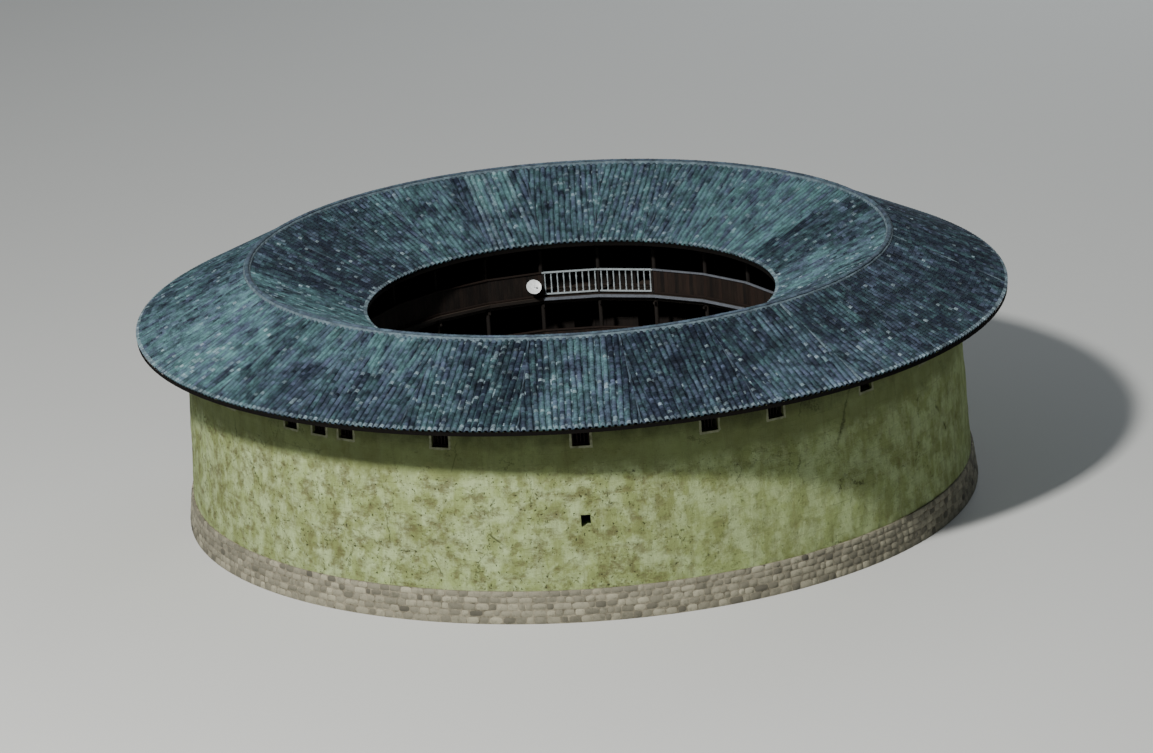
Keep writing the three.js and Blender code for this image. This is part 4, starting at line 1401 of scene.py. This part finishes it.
@dataclass
class Footing:
    """The footing of river stones in lime, with its top ledge and inner face."""

    plan: Plan = PLAN
    base_r: float = 15.55
    top_r: float = 15.40
    inner_r: float = 14.0
    height: float = 1.2
    joint: float = 0.012
    courses: tuple[float, ...] = (0.0, 0.27, 0.51, 0.76, 0.99, 1.2)
    shortest: float = 0.85
    longest: float = 2.4

    def face_r(self, z: Any) -> Any:
        """The outer face's radius at a height."""
        return self.base_r + (self.top_r - self.base_r) * z / self.height

    def build(self) -> None:
        """Builds the stones, each some 1.5 degrees long, the mortar behind them and the ledge."""
        stones, mortar = Draft(81), Draft(82)
        gate = degrees(asin(self.plan.gate_half / self.base_r))
        start, stop = 180 + gate, 540 - gate
        for heights in zip(self.courses, self.courses[1:]):
            edges = [start]
            while edges[-1] < stop - 1.4:
                long = np.clip(stones.random.normal(1.5, 0.38), self.shortest, self.longest)
                edges.append(edges[-1] + float(long))
            edges[-1] = stop
            for bearings in zip(edges, edges[1:]):
                self.stone(stones, bearings, heights)
        steps = 240
        b = np.radians(np.linspace(start, stop, steps))
        back, top = self.inner_r * self.plan.facet, self.height - 0.004
        lines = [(self.face_r(z) - 0.035, z) for z in (0.0, 0.6, top)]
        lines += [(back, top), (back, self.plan.platform_top)]
        shape = np.array([round_places(r, b, z) for r, z in lines])
        mortar.add(shape, lattice_faces(len(lines), steps))
        stones.finish("footing_stones", RIVER_STONE, [f"footing_{i}" for i in range(1, 5)], smooth=55.0)
        mortar.finish("footing_mortar", BED_LIME)

    def stone(self, draft: Draft, bearings: Pair, heights: Pair) -> None:
        """Adds one stone: a rounded face whose sides run back into the mortar.

        Args:
            draft: the piece it goes to.
            bearings: where it starts and ends.
            heights: its bed and its top.
        """
        n, rng = 5, draft.random
        gap = degrees(self.joint / self.base_r)
        t = np.linspace(0, 1, n)
        z0 = heights[0] + self.joint + rng.normal(0, 0.008, (2, 2))[0, 0] * (heights[0] > 0)
        z1 = heights[1] - (self.joint if heights[1] < self.height else 0.0)
        a0, a1 = bearings[0] + gap, bearings[1] - gap
        s, v = np.meshgrid(t, t, indexing="ij")
        corner = 0.12 * ((2 * v - 1) ** 4) * np.sign(s - 0.5) * (np.abs(2 * s - 1) > 0.9)
        a = a0 + (a1 - a0) * (v - 0.06 * ((2 * s - 1) ** 4) * np.sign(v - 0.5) * (np.abs(2 * v - 1) > 0.9))
        z = z0 + (z1 - z0) * (s - corner * 0.5)
        swell = (1 - (2 * s - 1) ** 4) * (1 - (2 * v - 1) ** 4)
        bump = 0.03 * swell + rng.normal(0, 0.004, s.shape) * swell
        radius = self.face_r(z) - 0.036 + bump + rng.uniform(-0.006, 0.004)
        shape = round_places(radius, np.radians(a), z)
        own = np.arange(n * n).reshape(n, n)
        rim = np.concatenate([own[0], own[1:, -1], own[-1, -2::-1], own[-2:0:-1, 0]])
        sunk = shape.reshape(-1, 3)[rim]
        length = np.hypot(sunk[:, 0], sunk[:, 1])
        sunk[:, :2] *= ((length - 0.05) / length)[:, None]
        below = n * n + np.arange(len(rim))
        skirt = np.stack([below, np.roll(below, -1), np.roll(rim, -1), rim], axis=1)
        faces = np.concatenate([lattice_faces(n, n), skirt])
        draft.add(np.concatenate([shape.reshape(-1, 3), sunk]), faces, tone=draft.drawn(0.22))


@dataclass
class Platform:
    """The ground storey's pounded floor and the granite kerb along the courtyard."""

    plan: Plan = PLAN
    edge_r: float = 8.6
    kerb_width: float = 0.3

    def build(self) -> None:
        """Builds the floor, a little uneven, and two kerb slabs to a bay."""
        p, floor, kerb = self.plan, Draft(91), Draft(92)
        top, inner = p.platform_top, self.edge_r * p.facet
        rings = [(inner + 0.02, 0.02), (inner + 0.32, 0.006), (inner + 1.6, 0.012)]
        rings += [(11.4, 0.004), (12.7, 0.008), (14.0 * p.facet, 0.004)]
        part, width = np.linspace(-1, 1, 9), 2 * p.half_width(inner)
        lines = [(d, top - drop) for d, drop in rings]
        edge = [(inner + 0.02, 0.0), (inner + 0.02, top - 0.02)]
        for bearing in p.centres:
            for strip in (lines, edge):
                shape = np.array([[(t * p.half_width(d), -d, z) for t in part] for d, z in strip])
                floor.add(turned_to(shape, bearing), lattice_faces(len(strip), 9, flip=True))
            cut = float(kerb.random.uniform(0.25, 0.75))
            for start, stop in ((0.0, cut), (cut, 1.0)):
                x0, x1 = -width / 2 + start * width + 0.004, -width / 2 + stop * width - 0.004
                centre = ((x0 + x1) / 2, -(inner + self.kerb_width / 2), top / 2)
                kerb.beam(centre, (x1 - x0, self.kerb_width, top), bearing, chamfer=0.014)
        floor.finish("pounded_floor", EARTH_FLOOR, ["ground_platform"])
        kerb.finish("kerb_slabs", GRANITE)


@dataclass
class GateHouse:
    """The stone portal, its step, and the two plank leaves that stand folded back in it."""

    plan: Plan = PLAN
    clear_half: float = 0.8
    rebate_half: float = 0.95
    back: float = 14.0003
    jamb_joint: float = 14.53
    sill_joint: float = 14.75
    front: float = 15.5
    rebate: float = 15.05
    head: float = 2.55
    step: Pair = (0.35, 0.15)
    leaf_width: float = 0.84
    planks: int = 5

    def block(self, draft: Draft, low: Sequence[float], high: Sequence[float]) -> None:
        """Adds a dressed block between two corners, with x along +X, y along +Y and z up."""
        centre = [-(low[0] + high[0]) / 2, -(low[1] + high[1]) / 2, (low[2] + high[2]) / 2]
        size = [high[i] - low[i] - 0.004 for i in range(3)]
        draft.beam(centre, size, self.plan.gate_bearing, chamfer=0.012)

    def build(self) -> None:
        """Builds the portal's blocks and the leaves."""
        stone, wood, iron = Draft(95), Draft(96), Draft(97)
        sill, half, top, step = self.plan.platform_top, self.plan.gate_half, self.plan.gate_top, self.step
        for s in (-1, 1):
            inner, outer, deep = s * self.clear_half, s * half, s * self.rebate_half
            cuts = [sill, 1.02, 1.83, self.head]
            for z0, z1 in zip(cuts, cuts[1:]):
                for x, y0, y1, foot in (
                    (inner, self.rebate, self.front, z0),
                    (deep, self.jamb_joint, self.rebate, z0),
                    (deep, self.back, self.jamb_joint, z0 + 0.001),
                ):
                    self.block(stone, (min(x, outer), y0, foot), (max(x, outer), y1, z1))
            self.leaf(wood, iron, s)
        for xs, ys, zs in (
            ((-half, half), (self.rebate, self.front), (self.head, top)),
            ((-half, half), (self.back, self.rebate), (self.head, top)),
            ((-half, half), (self.back, self.sill_joint), (0, sill)),
            ((-half, half), (self.sill_joint, self.front), (0, sill)),
            ((-self.rebate_half, 0), (self.front, self.front + step[0]), (0, step[1])),
            ((0, self.rebate_half), (self.front, self.front + step[0]), (0, step[1])),
        ):
            self.block(stone, *zip(xs, ys, zs))
        stone.finish("portal_blocks", GRANITE, ["gate_portal"])
        wood.finish("gate_planks", OLD_FIR, ["gate_leaf_left", "gate_leaf_right"])
        iron.finish("gate_ironwork", IRON)

    def leaf(self, wood: Draft, iron: Draft, side: int) -> None:
        """Adds one leaf: planks, three battens with studs, a pivot stile and an iron plate.

        Args:
            wood: the piece for the timber.
            iron: the piece for the iron.
            side: 1 for the leaf on +X and -1 for the one on -X.
        """
        x, pivot_y, bearing = side * (self.rebate_half - 0.043), self.rebate - 0.043, self.plan.gate_bearing
        low, high = self.plan.platform_top + 0.002, self.head - 0.02
        mid, each = (low + high) / 2, self.leaf_width / self.planks
        for i in range(self.planks):
            y = pivot_y - (i + 0.5) * each
            wood.beam((-x, -y, mid), (0.045, each - 0.004, high - low), bearing, Grain.UP, 0.003)
        face = x - side * 0.029
        stud = [(0.004, 0.0), (0.008, 0.004), (0.008, 0.012), (0.004, 0.016)]
        batten = (0.012, self.leaf_width - 0.05, 0.13)
        for z in (low + 0.25, mid, high - 0.25):
            wood.beam((-face, -(pivot_y - self.leaf_width / 2), z), batten, bearing, Grain.INWARD, 0.002)
            for k in range(4):
                y = pivot_y - 0.12 - k * 0.2
                iron.turned_post((-(face - side * 0.004), -y, z - 0.008), stud, 8, bearing)
        wood.turned_post((-x, -pivot_y, low), [(0.03, 0.0), (0.036, 0.02), (0.036, high - low)], 12, bearing)
        plate = (-(face - side * 0.003), -(pivot_y - self.leaf_width + 0.09), 1.35)
        iron.beam(plate, (0.006, 0.09, 0.09), bearing, chamfer=0.002)


@dataclass
class Galleries:
    """The gallery posts and ring beams of the three storeys, and the timber floors on them."""

    plan: Plan = PLAN
    post_radius: float = 0.088
    pad_height: float = 0.14
    beam_width: float = 0.16
    beam_height: float = 0.2
    board_thick: float = 0.03
    board_width: float = 0.2
    joist_pitch: float = 0.56
    pale_edge: Pair = (95.0, 190.0)

    def build(self) -> None:
        """Builds the frames of all storeys and the two floors."""
        for seed, (storey, floor, head) in enumerate(self.plan.storeys, 111):
            self.frame(storey, floor, head, seed)
        for storey, level, _ in self.plan.storeys[1:]:
            self.floor(storey, level)

    def frame(self, storey: Storey, floor: float, head: float, seed: int) -> None:
        """Builds one storey's posts, on stone pads at the ground, and its ring beam.

        Args:
            storey: the storey.
            floor: the height that the posts stand on.
            head: the height of the ring beam's top.
            seed: the seed of the piece's random draws.
        """
        p, r = self.plan, self.post_radius
        draft, pads = Draft(seed), Draft(seed + 50)
        base = self.pad_height if storey is Storey.GROUND else 0.0
        under, middle, word = head - self.beam_height, p.post_r * p.facet, storey.value
        tall, top = under - floor, r * 0.94
        shaft = [(r * 0.98, base), (r, base + 0.04), (r * 0.99, tall * 0.5)]
        shaft += [(top, tall - 0.02), (top, tall + 0.05)]
        for line in p.lines:
            foot = (0.0, -p.post_r, floor)
            draft.turned_post(foot, shaft, 14, line)
            if base:
                pads.turned_post(foot, [(0.12, 0.0), (0.135, 0.03), (0.13, 0.09), (0.1, base)], 14, line)
            draft.beam((0, -p.post_r + 0.11, under - 0.06), (0.09, 0.3, 0.1), line, Grain.INWARD, 0.01)
        size = (2 * p.half_width(middle) - 0.006, self.beam_width - 0.004, self.beam_height - 0.004)
        for centre in p.centres:
            draft.beam((0, -middle, head - self.beam_height / 2), size, centre, chamfer=0.012)
        draft.finish(f"gallery_posts_{word}", OLD_FIR, [f"gallery_{word}_{i}" for i in (1, 2, 3)])
        if base:
            pads.finish("post_pads", GRANITE)

    def floor(self, storey: Storey, level: float) -> None:
        """Builds one storey's boards, joists and edge board.

        Args:
            storey: the storey.
            level: the height of the boards' top.
        """
        p, thick = self.plan, self.board_thick
        boards, joists, edging = Draft(131), Draft(132), Draft(133)
        inner = p.floor_edge_r * p.facet
        for bearing in p.centres:
            distance = inner + 0.02
            while distance < 13.95:
                width = min(self.board_width, 13.97 - distance)
                middle = distance + width / 2
                size = (2 * p.half_width(middle) - 0.004, width - 0.004, thick)
                boards.beam((0, -middle, level - thick / 2), size, bearing)
                distance += width
            for x in np.arange(-3, 4) * self.joist_pitch:
                start = max(inner + 0.022, (abs(x) + 0.035) / tan(p.half_bay))
                length = 13.9 - start
                if length > 0.4:
                    centre = (float(x), -(start + length / 2), level - thick - 0.044)
                    joists.beam(centre, (0.06, length, 0.086), bearing, Grain.INWARD)
            size = (2 * p.half_width(inner) - 0.004, 0.022, p.floor_thick - 0.004)
            pale = storey is Storey.THIRD and self.pale_edge[0] < bearing < self.pale_edge[1]
            edge = edging if pale else joists
            edge.beam((0, -(inner + 0.012), level - p.floor_thick / 2), size, bearing)
        boards.finish(f"floorboards_{storey.value}", FLOOR_FIR, [f"floor_{storey.value}"], smooth=None)
        joists.finish(f"joists_{storey.value}", OLD_FIR, smooth=None)
        if storey is Storey.THIRD:
            edging.finish("pale_floor_edge", DULL_PAINT, smooth=None)


@dataclass
class RoomFronts:
    """The boarded fronts of the rooms: sills, studs, boards, doors that stand open, and barred windows."""

    plan: Plan = PLAN
    thick: float = 0.08
    post: float = 0.1
    board_width: float = 0.17
    door_width: float = 0.8
    door_height: float = 1.9
    door_x: float = -0.46
    door_post: float = 0.06
    window_width: float = 0.7
    window_sill: float = 1.0
    window_x: float = 0.56
    window_post: float = 0.05
    window_bars: int = 7
    hall_half: float = 1.1
    hall_head: float = 2.55

    @property
    def y(self) -> float:
        """Where the middle of the front's thickness lies."""
        return -self.plan.front_r * self.plan.facet

    @property
    def half(self) -> float:
        """Half of a bay's width there."""
        return self.plan.half_width(-self.y)

    def build(self) -> None:
        """Builds the fronts of the three storeys."""
        for number, (storey, floor, head) in enumerate(self.plan.storeys):
            draft, bars, word = Draft(151 + number), Draft(161 + number), storey.value
            for bearing in self.plan.centres:
                if storey is Storey.GROUND and bearing == self.plan.gate_bearing:
                    self.hall(draft, bearing, floor, head)
                else:
                    self.bay(draft, bars, bearing, floor, head)
            fronts = [f"room_front_{word}_{i}" for i in (1, 2, 3)]
            # The room fronts are near black: partly smoky fir, partly painted shade under the galleries.
            draft.finish(f"room_boards_{word}", SMOKY_AND_SHADED_FIR, fronts, smooth=None)
            bars.finish(f"window_bars_{word}", OLD_FIR, smooth=None)

    def upright(
        self, draft: Draft, bearing: float, x: float, wide: float, ends: Pair, chamfer: float
    ) -> None:
        """Adds a post or a stud.

        Args:
            draft: the piece it goes to.
            bearing: the bay's bearing.
            x: where its middle stands.
            wide: its width.
            ends: the heights of its foot and its head.
            chamfer: how much its edges are taken off.
        """
        size = (wide, self.thick, ends[1] - ends[0])
        draft.beam((x, self.y, (ends[0] + ends[1]) / 2), size, bearing, Grain.UP, chamfer)

    def boards(self, draft: Draft, bearing: float, xs: Sequence[float], zs: Sequence[float]) -> None:
        """Fills a stretch of the front with upright boards.

        Args:
            draft: the piece they go to.
            bearing: the bay's bearing.
            xs: where the stretch starts and ends.
            zs: its foot and its head.
        """
        x0, x1 = xs
        count = max(1, round((x1 - x0) / self.board_width))
        width = (x1 - x0) / count
        for i in range(count):
            proud = float(draft.random.uniform(-0.004, 0.004))
            size = (width - 0.003, 0.024, zs[1] - zs[0])
            draft.beam((x0 + (i + 0.5) * width, self.y + proud, sum(zs) / 2), size, bearing, Grain.UP)

    def bay(self, draft: Draft, bars: Draft, bearing: float, floor: float, head: float) -> None:
        """Builds one bay's front.

        Args:
            draft: the piece for frames and boards.
            bars: the piece for the window's bars and the door's leaf.
            bearing: the bay's bearing.
            floor: the storey's floor height.
            head: the height of the front's top.
        """
        y, half, post = self.y, self.half, self.post
        door_head, sill = floor + self.door_height, floor + self.window_sill
        mid = (sill + door_head) / 2
        door = (self.door_x - self.door_width / 2, self.door_x + self.door_width / 2)
        window = (self.window_x - self.window_width / 2, self.window_x + self.window_width / 2)
        ends = (-half + post / 2, half - post / 2)
        door_edges = (door[0] - self.door_post, door[1] + self.door_post)
        window_edges = (window[0] - self.window_post, window[1] + self.window_post)
        low, high = floor + 0.1, door_head
        self.upright(draft, bearing, half, post, (floor, head), 0.006)
        for z, tall in ((head - 0.05, 0.1), (door_head + 0.035, 0.07)):
            draft.beam((0, y, z), (2 * half - post, self.thick - 0.01, tall), bearing, chamfer=0.004)
        for x0, x1 in ((ends[0], door[0]), (door[1], ends[1])):
            size = (x1 - x0, self.thick - 0.006, 0.1)
            draft.beam(((x0 + x1) / 2, y, floor + 0.05), size, bearing, chamfer=0.004)
        for sides, wide, foot in ((door, self.door_post, floor), (window, self.window_post, sill)):
            for x in (sides[0] - wide / 2, sides[1] + wide / 2):
                self.upright(draft, bearing, x, wide, (foot, door_head), 0.004)
        window_mid = (window[0] + window[1]) / 2
        size = (self.window_width + 2 * self.window_post, self.thick, 0.06)
        draft.beam((window_mid, y, sill - 0.03), size, bearing, chamfer=0.004)
        for xs, zs in (
            (ends, (door_head + 0.07, head - 0.1)),
            ((ends[0], door_edges[0]), (low, high)),
            ((door_edges[1], window_edges[0]), (low, high)),
            (window_edges, (low, sill - 0.06)),
            ((window_edges[1], ends[1]), (low, high)),
        ):
            self.boards(draft, bearing, xs, zs)
        for i in range(self.window_bars):
            x = window[0] + (i + 0.5) * self.window_width / self.window_bars
            bars.beam((x, y, mid), (0.028, 0.028, door_head - sill), bearing, Grain.UP)
        bars.beam((window_mid, y, mid), (self.window_width, 0.03, 0.04), bearing)
        angle, reach = float(bars.random.uniform(1.15, 1.6)), self.door_width / 2 - 0.02
        x = door[0] + 0.01 + reach * cos(angle)
        leaf = (x, y - self.thick / 2 + 0.01 - reach * sin(angle), (floor + door_head) / 2 + 0.01)
        bars.beam(leaf, (2 * reach, 0.03, self.door_height - 0.05), bearing, Grain.UP, swing=-angle)

    def hall(self, draft: Draft, bearing: float, floor: float, head: float) -> None:
        """Frames the open entrance hall.

        Args:
            draft: the piece it goes to.
            bearing: the bay's bearing.
            floor: the storey's floor height.
            head: the height of the front's top.
        """
        y, half, post = self.y, self.half, 0.08
        for s in (-1, 1):
            x0, x1 = sorted((s * self.hall_half, s * (half - self.post / 2)))
            self.upright(draft, bearing, s * (self.hall_half + post / 2), post, (floor, head), 0.006)
            stretch = (min(x0 + post * (s > 0), x1), x1 - post * (s < 0))
            self.boards(draft, bearing, stretch, (floor, head - 0.1))
        self.upright(draft, bearing, half, self.post, (floor, head), 0.006)
        size = (2 * self.hall_half, self.thick, head - self.hall_head - 0.06)
        draft.beam((0, y, (self.hall_head + head) / 2 - 0.03), size, bearing, chamfer=0.008)
        size = (2 * half - self.post, self.thick - 0.01, 0.06)
        draft.beam((0, y, head - 0.03), size, bearing, chamfer=0.004)


@dataclass
class Parapets:
    """The gallery parapets: boards between rails, and two bays of pale turned balusters.

    The boards past the bearing where the painted shade starts are drawn darkest, as painted shade. A
    baluster's profile is its radius and its share of the height.
    """

    plan: Plan = PLAN
    board_r: float = 8.86
    rail_in_r: float = 8.79
    rail_out_r: float = 8.895
    rail_low: float = 1.0
    rail_high: float = 1.06
    boards: int = 14
    painted_shade_from: float = 187.0
    pale_bays: tuple[float, ...] = (165.0, 180.0)
    grey_rails: tuple[float, ...] = (105.0, 120.0, 135.0, 150.0)
    balusters: int = 9
    baluster_foot: float = 0.15
    profile: tuple[Pair, ...] = (
        (0.034, 0.0), (0.034, 0.07), (0.022, 0.1), (0.032, 0.16), (0.036, 0.26), (0.024, 0.4),
        (0.022, 0.52), (0.03, 0.72), (0.035, 0.78), (0.022, 0.9), (0.034, 0.93), (0.034, 1.0),
    )
    newels: tuple[Pair, ...] = ((157.5, 0.046), (172.5, 0.0), (187.5, -0.046))

    def build(self) -> None:
        """Builds the parapets of the second and third storeys."""
        for seed, (storey, level, _) in enumerate(self.plan.storeys[1:], 171):
            draft, painted, third = Draft(seed), Draft(175), storey is Storey.THIRD
            for bearing in self.plan.centres:
                if not (third and bearing in self.pale_bays):
                    grey = third and bearing in self.grey_rails
                    self.boarded(draft, painted if grey else draft, bearing, level)
            word = storey.value
            draft.finish(f"parapet_boards_{word}", BROWN_FIR, [f"parapet_{word}"], smooth=None)
            if third:
                painted.finish("grey_hand_rails", DULL_PAINT, smooth=None)
        self.pale()

    def rail(self, draft: Draft, bearing: float, low: float, high: float, slim: float = 0.0) -> None:
        """Adds a rail along one bay.

        Args:
            draft: the piece it goes to.
            bearing: the bay's bearing.
            low: the height of its underside.
            high: the height of its top.
            slim: how much narrower it is on each side than the hand rail.
        """
        inner, outer = (self.rail_in_r + slim) * self.plan.facet, (self.rail_out_r - slim) * self.plan.facet
        middle = (inner + outer) / 2
        size = (2 * self.plan.half_width(middle) - 0.004, outer - inner, high - low)
        draft.beam((0, -middle, (low + high) / 2), size, bearing, chamfer=0.008)

    def boarded(self, draft: Draft, rails: Draft, bearing: float, level: float) -> None:
        """Builds one boarded bay.

        Args:
            draft: the piece it goes to.
            rails: the piece for its hand rail.
            bearing: the bay's bearing.
            level: the floor's height.
        """
        self.rail(rails, bearing, level + self.rail_low, level + self.rail_high)
        self.rail(draft, bearing, level + 0.02, level + 0.1, 0.02)
        middle = self.board_r * self.plan.facet
        width = 2 * self.plan.half_width(middle)
        each = width / self.boards
        for i in range(self.boards):
            x = -width / 2 + (i + 0.5) * each
            y = -middle + float(draft.random.uniform(-0.003, 0.003))
            low = level + 0.1 + float(draft.random.uniform(-0.01, 0.01))
            size = (each - 0.004, 0.022, level + self.rail_low - low)
            # Past that bearing the boards are drawn near black: painted shade.
            tone = draft.drawn(0.3, 0.05 if bearing > self.painted_shade_from else 0.45)
            draft.beam((x, y, (low + level + self.rail_low) / 2), size, bearing, Grain.UP, tone=tone)
        for z in (level + 0.32, level + 0.8):
            draft.beam((0, -middle - 0.02, z), (width - 0.02, 0.018, 0.07), bearing)

    def pale(self) -> None:
        """Builds the two bays of pale balusters with their rails, and the dark newels between them."""
        draft, newels, p, level = Draft(181), Draft(182), self.plan, self.plan.third_floor
        middle = self.board_r * p.facet
        width = 2 * p.half_width(middle)
        tall = self.rail_low - self.baluster_foot
        turned = [(r, share * tall) for r, share in self.profile]
        for bearing in self.pale_bays:
            self.rail(draft, bearing, level + self.rail_low, level + self.rail_high)
            self.rail(draft, bearing, level + 0.09, level + self.baluster_foot, 0.02)
            for i in range(self.balusters):
                x = ((i + 0.5) / self.balusters - 0.5) * width
                draft.turned_post((x, -middle, level + self.baluster_foot), turned, 10, bearing)
        for line, shift in self.newels:
            newels.beam((shift, -8.842, level + 0.53), (0.088, 0.092, 1.06), line, Grain.UP, 0.01)
        draft.finish("pale_balustrade", CHALKED_AND_SHADED_PAINT, ["balustrade_third"])
        newels.finish("dark_newels", OLD_FIR)


@dataclass
class RoofFrame:
    """Tie beams, king posts and the purlin rings under the roof, each ring of straight lengths."""

    plan: Plan = PLAN
    tie_height: float = 0.2
    king_top: float = 9.56
    inset: float = 0.45
    lengths: int = 72

    def build(self) -> None:
        """Builds the frame in place of the model's eight roof frame sectors."""
        p, draft = self.plan, Draft(191)
        top = p.tie_bottom + self.tie_height
        for line in p.lines:
            draft.beam((0, -12.5, p.tie_bottom + 0.1), (0.176, 8.3, 0.198), line, Grain.INWARD, 0.014)
            king = (0.15, 0.15, self.king_top - top)
            draft.beam((0, -p.ridge_r, (top + self.king_top) / 2), king, line, Grain.UP, 0.012)
        under, step = p.roof_thick + 0.002, 360.0 / self.lengths
        half = radians(step / 2)
        ledges = (17.0 - self.inset, top - 0.05), (p.court_eave_r + self.inset, top - 0.05), (p.ridge_r, 9.55)
        for radius, low in ledges:
            high = min(p.roof_top(radius - 0.1), p.roof_top(radius + 0.1)) - under
            size = (2 * radius * sin(half) - 0.002, 0.19, high - low)
            for i in range(self.lengths):
                draft.beam((0, -radius * cos(half), (low + high) / 2), size, i * step, chamfer=0.03)
        draft.finish("roof_timbers", OLD_FIR, [f"roof_frame_{i}" for i in range(1, 9)])


@dataclass
class DishAerial:
    """The white dish on its arm at the third-floor parapet."""

    plan: Plan = PLAN
    bearing: float = 195.0
    along: float = -0.7
    radius: float = 0.31
    depth: float = 0.065
    elevation: float = 35.0
    reach: float = 0.33
    height: float = 5.96
    sides: int = 40

    def build(self) -> None:
        """Builds the bowl with its rolled rim, the feed, the arm and the wall plate."""
        draft = Draft(197)
        face = 8.84 * self.plan.facet - 0.0003
        vertex = np.array(Vector((self.along, self.reach - face, self.height)))
        tilt = np.array(Matrix.Rotation(radians(self.elevation), 3, "X")).T
        a = np.arange(self.sides) * 2 * pi / self.sides
        bowl = [(r, self.depth * (r / self.radius) ** 2) for r in np.linspace(0.004, self.radius, 9)]
        rim = [(self.radius - 0.001, self.depth + 0.004), (self.radius, self.depth - 0.004)]
        feed = [(0.0045, -0.004), (0.009, 0.0), (0.009, 0.21), (0.03, 0.2), (0.038, 0.22)]
        feed += [(0.036, 0.26), (0.005, 0.262)]
        boss = [(0.005, -0.064), (0.044, -0.063), (0.045, -0.01), (0.03, -0.004)]
        for profile in (bowl + rim + [(r, d - 0.008) for r, d in reversed(bowl)], feed, boss):
            rings = [np.stack([r * np.cos(a), 0 * a + d, -r * np.sin(a)], axis=1) for r, d in profile]
            shape = turned_to(np.array(rings) @ tilt + vertex, self.bearing)
            draft.add(shape, tube_faces(len(profile), self.sides))
        arm_z = self.height - 0.035
        arm = (self.along, -face + (self.reach - 0.045) / 2, arm_z)
        draft.beam(arm, (0.036, self.reach - 0.05, 0.036), self.bearing, chamfer=0.006)
        draft.beam((self.along, -face + 0.004, arm_z), (0.14, 0.008, 0.14), self.bearing, chamfer=0.002)
        draft.finish("white_dish", WHITE_ENAMEL, ["dish_aerial"])


@dataclass
class Studio:
    """The pale floor, the soft light and the camera at the photo's angle.

    Stand is where the camera is, aim is what it looks at, and lean is its roll in degrees.
    """

    stand: Triple = (0.0, -180.047, 59.795)
    aim: Triple = (0.0, 0.0, 4.6)
    lean: float = -3.76
    lens: float = 150.0
    lit: Triple = (0.0, 0.0, 4.0)
    span: float = 400.0

    def build(self) -> None:
        """Sets the floor, the lights, the sky and the camera."""
        self.floor()
        self.light("key_from_front_left", (-49.2, -88.7, 97.0), 10.0, 312000.0, "#fffbf6")
        self.light("fill_from_right", (105.0, -40.0, 60.0), 70.0, 5000.0, "#dfeaf5")
        self.light("fill_from_behind", (50.0, 120.0, 70.0), 70.0, 60000.0, "#eef2f6")
        self.sky()
        self.camera()

    def floor(self) -> None:
        """Lays the pale floor."""
        shape = [(x, y, -0.002) for y in (-self.span, 0, self.span) for x in (-self.span, 0, self.span)]
        mesh = bpy.data.meshes.new("studio_floor")
        mesh.from_pydata(shape, [], lattice_faces(3, 3).tolist())
        mesh.materials.append(PAPER.material())
        sheet = bpy.data.objects.new("studio_floor", mesh)
        bpy.context.scene.collection.objects.link(sheet)

    def light(self, name: str, place: Sequence[float], size: float, power: float, colour: str) -> None:
        """Adds one large soft light that looks at the house.

        Args:
            name: the light's name.
            place: where it hangs.
            size: the length of its side.
            power: its power in watts.
            colour: its colour as hex.
        """
        lamp = bpy.data.lights.new(name, "AREA")
        lamp.shape = "SQUARE"
        lamp.size = size
        lamp.energy = power
        lamp.color = linear(colour)[:3]
        holder = bpy.data.objects.new(name, lamp)
        holder.location = place
        holder.rotation_euler = (Vector(self.lit) - Vector(place)).to_track_quat("-Z", "Y").to_euler()
        bpy.context.scene.collection.objects.link(holder)

    def sky(self) -> None:
        """Gives an even pale light from all round."""
        world = bpy.data.worlds.new("studio_air")
        world.use_nodes = True
        air = world.node_tree.nodes["Background"]
        air.inputs["Color"].default_value = linear("#dfe6ec")
        air.inputs["Strength"].default_value = 0.12
        bpy.context.scene.world = world

    def camera(self) -> None:
        """Stands the camera where the photo was taken and closes in on the house."""
        lens = bpy.data.cameras.new("photo_angle")
        lens.lens = self.lens
        lens.sensor_width = 36.0
        lens.clip_end = 2000.0
        holder = bpy.data.objects.new("photo_angle", lens)
        view = (Vector(self.aim) - Vector(self.stand)).to_track_quat("-Z", "Y")
        roll = Matrix.Rotation(radians(self.lean), 4, "Z")
        holder.matrix_world = Matrix.Translation(Vector(self.stand)) @ view.to_matrix().to_4x4() @ roll
        bpy.context.scene.collection.objects.link(holder)
        bpy.context.scene.camera = holder


def main() -> None:
    """Builds the house piece by piece, then the studio round it."""
    logging.basicConfig(level=logging.INFO, format="%(message)s")
    house = (TiledRoof, Ridge, EarthWall, Footing, Platform, GateHouse, Galleries, RoomFronts, Parapets)
    for assembly in (*house, RoofFrame, DishAerial, Studio):
        LOG.info("building %s", assembly.__name__)
        assembly().build()


if __name__ == "__main__":
    main()
